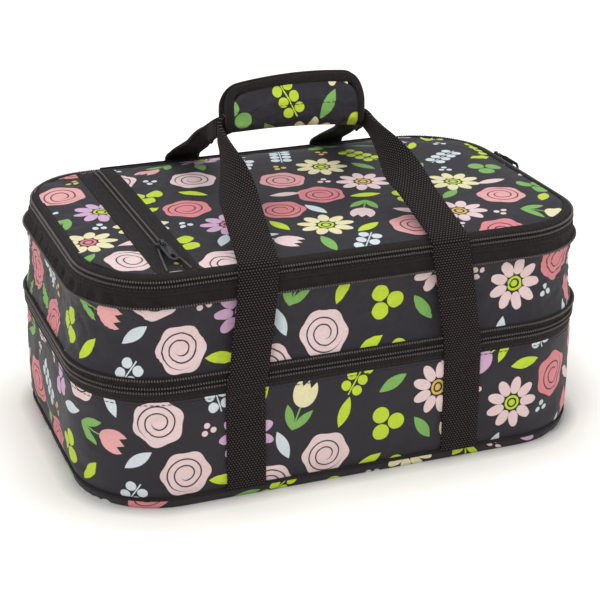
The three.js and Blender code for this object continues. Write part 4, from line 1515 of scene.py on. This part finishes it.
# Stage.
class CARRIER_OT_stage(bpy.types.Operator):
    """Sets the pale floor, the soft lamps and the camera"""

    bl_idname = "carrier.stage"
    bl_label = "Stage"

    def execute(self, context):
        scene = context.scene
        scene.view_settings.view_transform = "Standard"
        self.floor()
        self.world(scene)
        self.lamp("key_lamp", (-1.25, -1.15, 1.85), 1.5, 27)
        self.lamp("fill_lamp", (1.6, -0.9, 1.3), 1.4, 12)
        self.lamp("top_lamp", (0.1, 0.5, 2.2), 1.8, 16)
        self.camera(scene)
        return {"FINISHED"}

    def floor(self):
        """A pale floor with a painted contact shadow close to the bag, which glows for the camera farther
        off.
        """
        floor = primitive(bpy.ops.mesh.primitive_plane_add, "studio_floor", size=14)
        board = Board(bpy.data.materials.new("studio_floor"))
        place_x, place_y, _ = board.split(board.body_place())
        corner = sizes().corner_radius * 1000
        beyond_x = (abs(place_x) - (HALF_LENGTH * 1000 - corner)).greater(0.0)
        beyond_y = (abs(place_y) - (HALF_DEPTH * 1000 - corner)).greater(0.0)
        away = (beyond_x * beyond_x + beyond_y * beyond_y).root() - corner
        soft = board.noise(board.body_place(), 400.0, 1.0)
        # Painted contact shadow: the floor's colour is darkened to 0.62 at the bag's plan and comes back to
        # 0.98 at 13 mm out.
        pale = board.tint(colours().floor, away.ramp(13.0, 0.62, 0.98) + soft * 0.03)
        floor.data.materials.append(board.finish(pale, 0.9, Specular_IOR_Level=0.1))
        shown = board.rays("Is Camera Ray", "Is Glossy Ray", "Is Transmission Ray")
        # The glow for the camera is weak by the bag and grows out to 90 mm, so the shadow stays near the bag
        # and the floor farther off shows white.
        strength = shown * away.ramp(90.0, 0.03, 0.42)
        glow = board.add("ShaderNodeEmission", {}, {"Color": (1, 1, 1), "Strength": strength})
        surface = Field(board, board.shader.outputs[0])
        board.show("Material Output", board.add("ShaderNodeAddShader", {}, {0: surface, 1: glow}))

    def world(self, scene):
        """A soft blue-white light all round, which the camera sees as white."""
        scene.world = bpy.data.worlds.new("studio")
        board = Board(scene.world)
        light = board.add("ShaderNodeBackground", {}, {"Color": (0.93, 0.96, 1.0), "Strength": 0.45})
        white = board.add("ShaderNodeBackground", {}, {"Color": (1, 1, 1)})
        shown = board.rays("Is Camera Ray", "Is Transmission Ray")
        board.show("World Output", board.add("ShaderNodeMixShader", {}, {0: shown, 1: light, 2: white}))

    def lamp(self, name, place, size, power):
        data = bpy.data.lights.new(name, "AREA")
        data.shape = "DISK"
        data.size = size
        data.energy = power
        lamp = bpy.data.objects.new(name, data)
        lamp.location = place
        lamp.rotation_euler = (Vector((0, 0, 0.1)) - Vector(place)).to_track_quat("-Z", "Y").to_euler()
        bpy.context.scene.collection.objects.link(lamp)

    def camera(self, scene):
        data = bpy.data.cameras.new("photo_camera")
        data.lens = 97.84
        data.sensor_width = 36
        data.shift_x = 0.0068
        data.shift_y = 0.0025
        data.clip_end = 50
        camera = bpy.data.objects.new("photo_camera", data)
        turn = math.radians(-20.60)
        lift = math.radians(22.69)
        away = 1.311
        target = Vector((0, 0, 0.09))
        back = Vector((math.sin(turn) * math.cos(lift), -math.cos(turn) * math.cos(lift), math.sin(lift)))
        camera.location = target + back * away
        camera.rotation_euler = (-back).to_track_quat("-Z", "Y").to_euler()
        scene.collection.objects.link(camera)
        scene.camera = camera


class CARRIER_PT_panel(bpy.types.Panel):
    """Lists the sizes, the colours and the pieces of the carrier"""

    bl_idname = "CARRIER_PT_panel"
    bl_label = "Casserole carrier"
    bl_space_type = "VIEW_3D"
    bl_region_type = "UI"
    bl_category = "Carrier"

    def draw(self, context):
        layout = self.layout
        for operator in OPERATORS:
            layout.operator(operator.bl_idname)
        for group in (context.scene.carrier_sizes, context.scene.carrier_colours):
            box = layout.box()
            for name in group.__annotations__:
                box.prop(group, name)


OPERATORS = (
    CARRIER_OT_base,
    CARRIER_OT_lower_wall,
    CARRIER_OT_bands,
    CARRIER_OT_deck,
    CARRIER_OT_lid,
    CARRIER_OT_coils,
    CARRIER_OT_hinges,
    CARRIER_OT_sliders,
    CARRIER_OT_straps,
    CARRIER_OT_grip,
    CARRIER_OT_stage,
)
CLASSES = (CarrierSizes, CarrierColours, *OPERATORS, CARRIER_PT_panel)


def register():
    for entry in CLASSES:
        bpy.utils.register_class(entry)
    bpy.types.Scene.carrier_sizes = bpy.props.PointerProperty(type=CarrierSizes)
    bpy.types.Scene.carrier_colours = bpy.props.PointerProperty(type=CarrierColours)


def unregister():
    del bpy.types.Scene.carrier_colours
    del bpy.types.Scene.carrier_sizes
    for entry in reversed(CLASSES):
        bpy.utils.unregister_class(entry)


def main():
    """Builds every piece in order."""
    register()
    bpy.ops.carrier.base()
    bpy.ops.carrier.lower_wall()
    bpy.ops.carrier.bands()
    bpy.ops.carrier.deck()
    bpy.ops.carrier.lid()
    bpy.ops.carrier.coils()
    bpy.ops.carrier.hinges()
    bpy.ops.carrier.sliders()
    bpy.ops.carrier.straps()
    bpy.ops.carrier.grip()
    bpy.ops.carrier.stage()


if __name__ == "__main__":
    main()
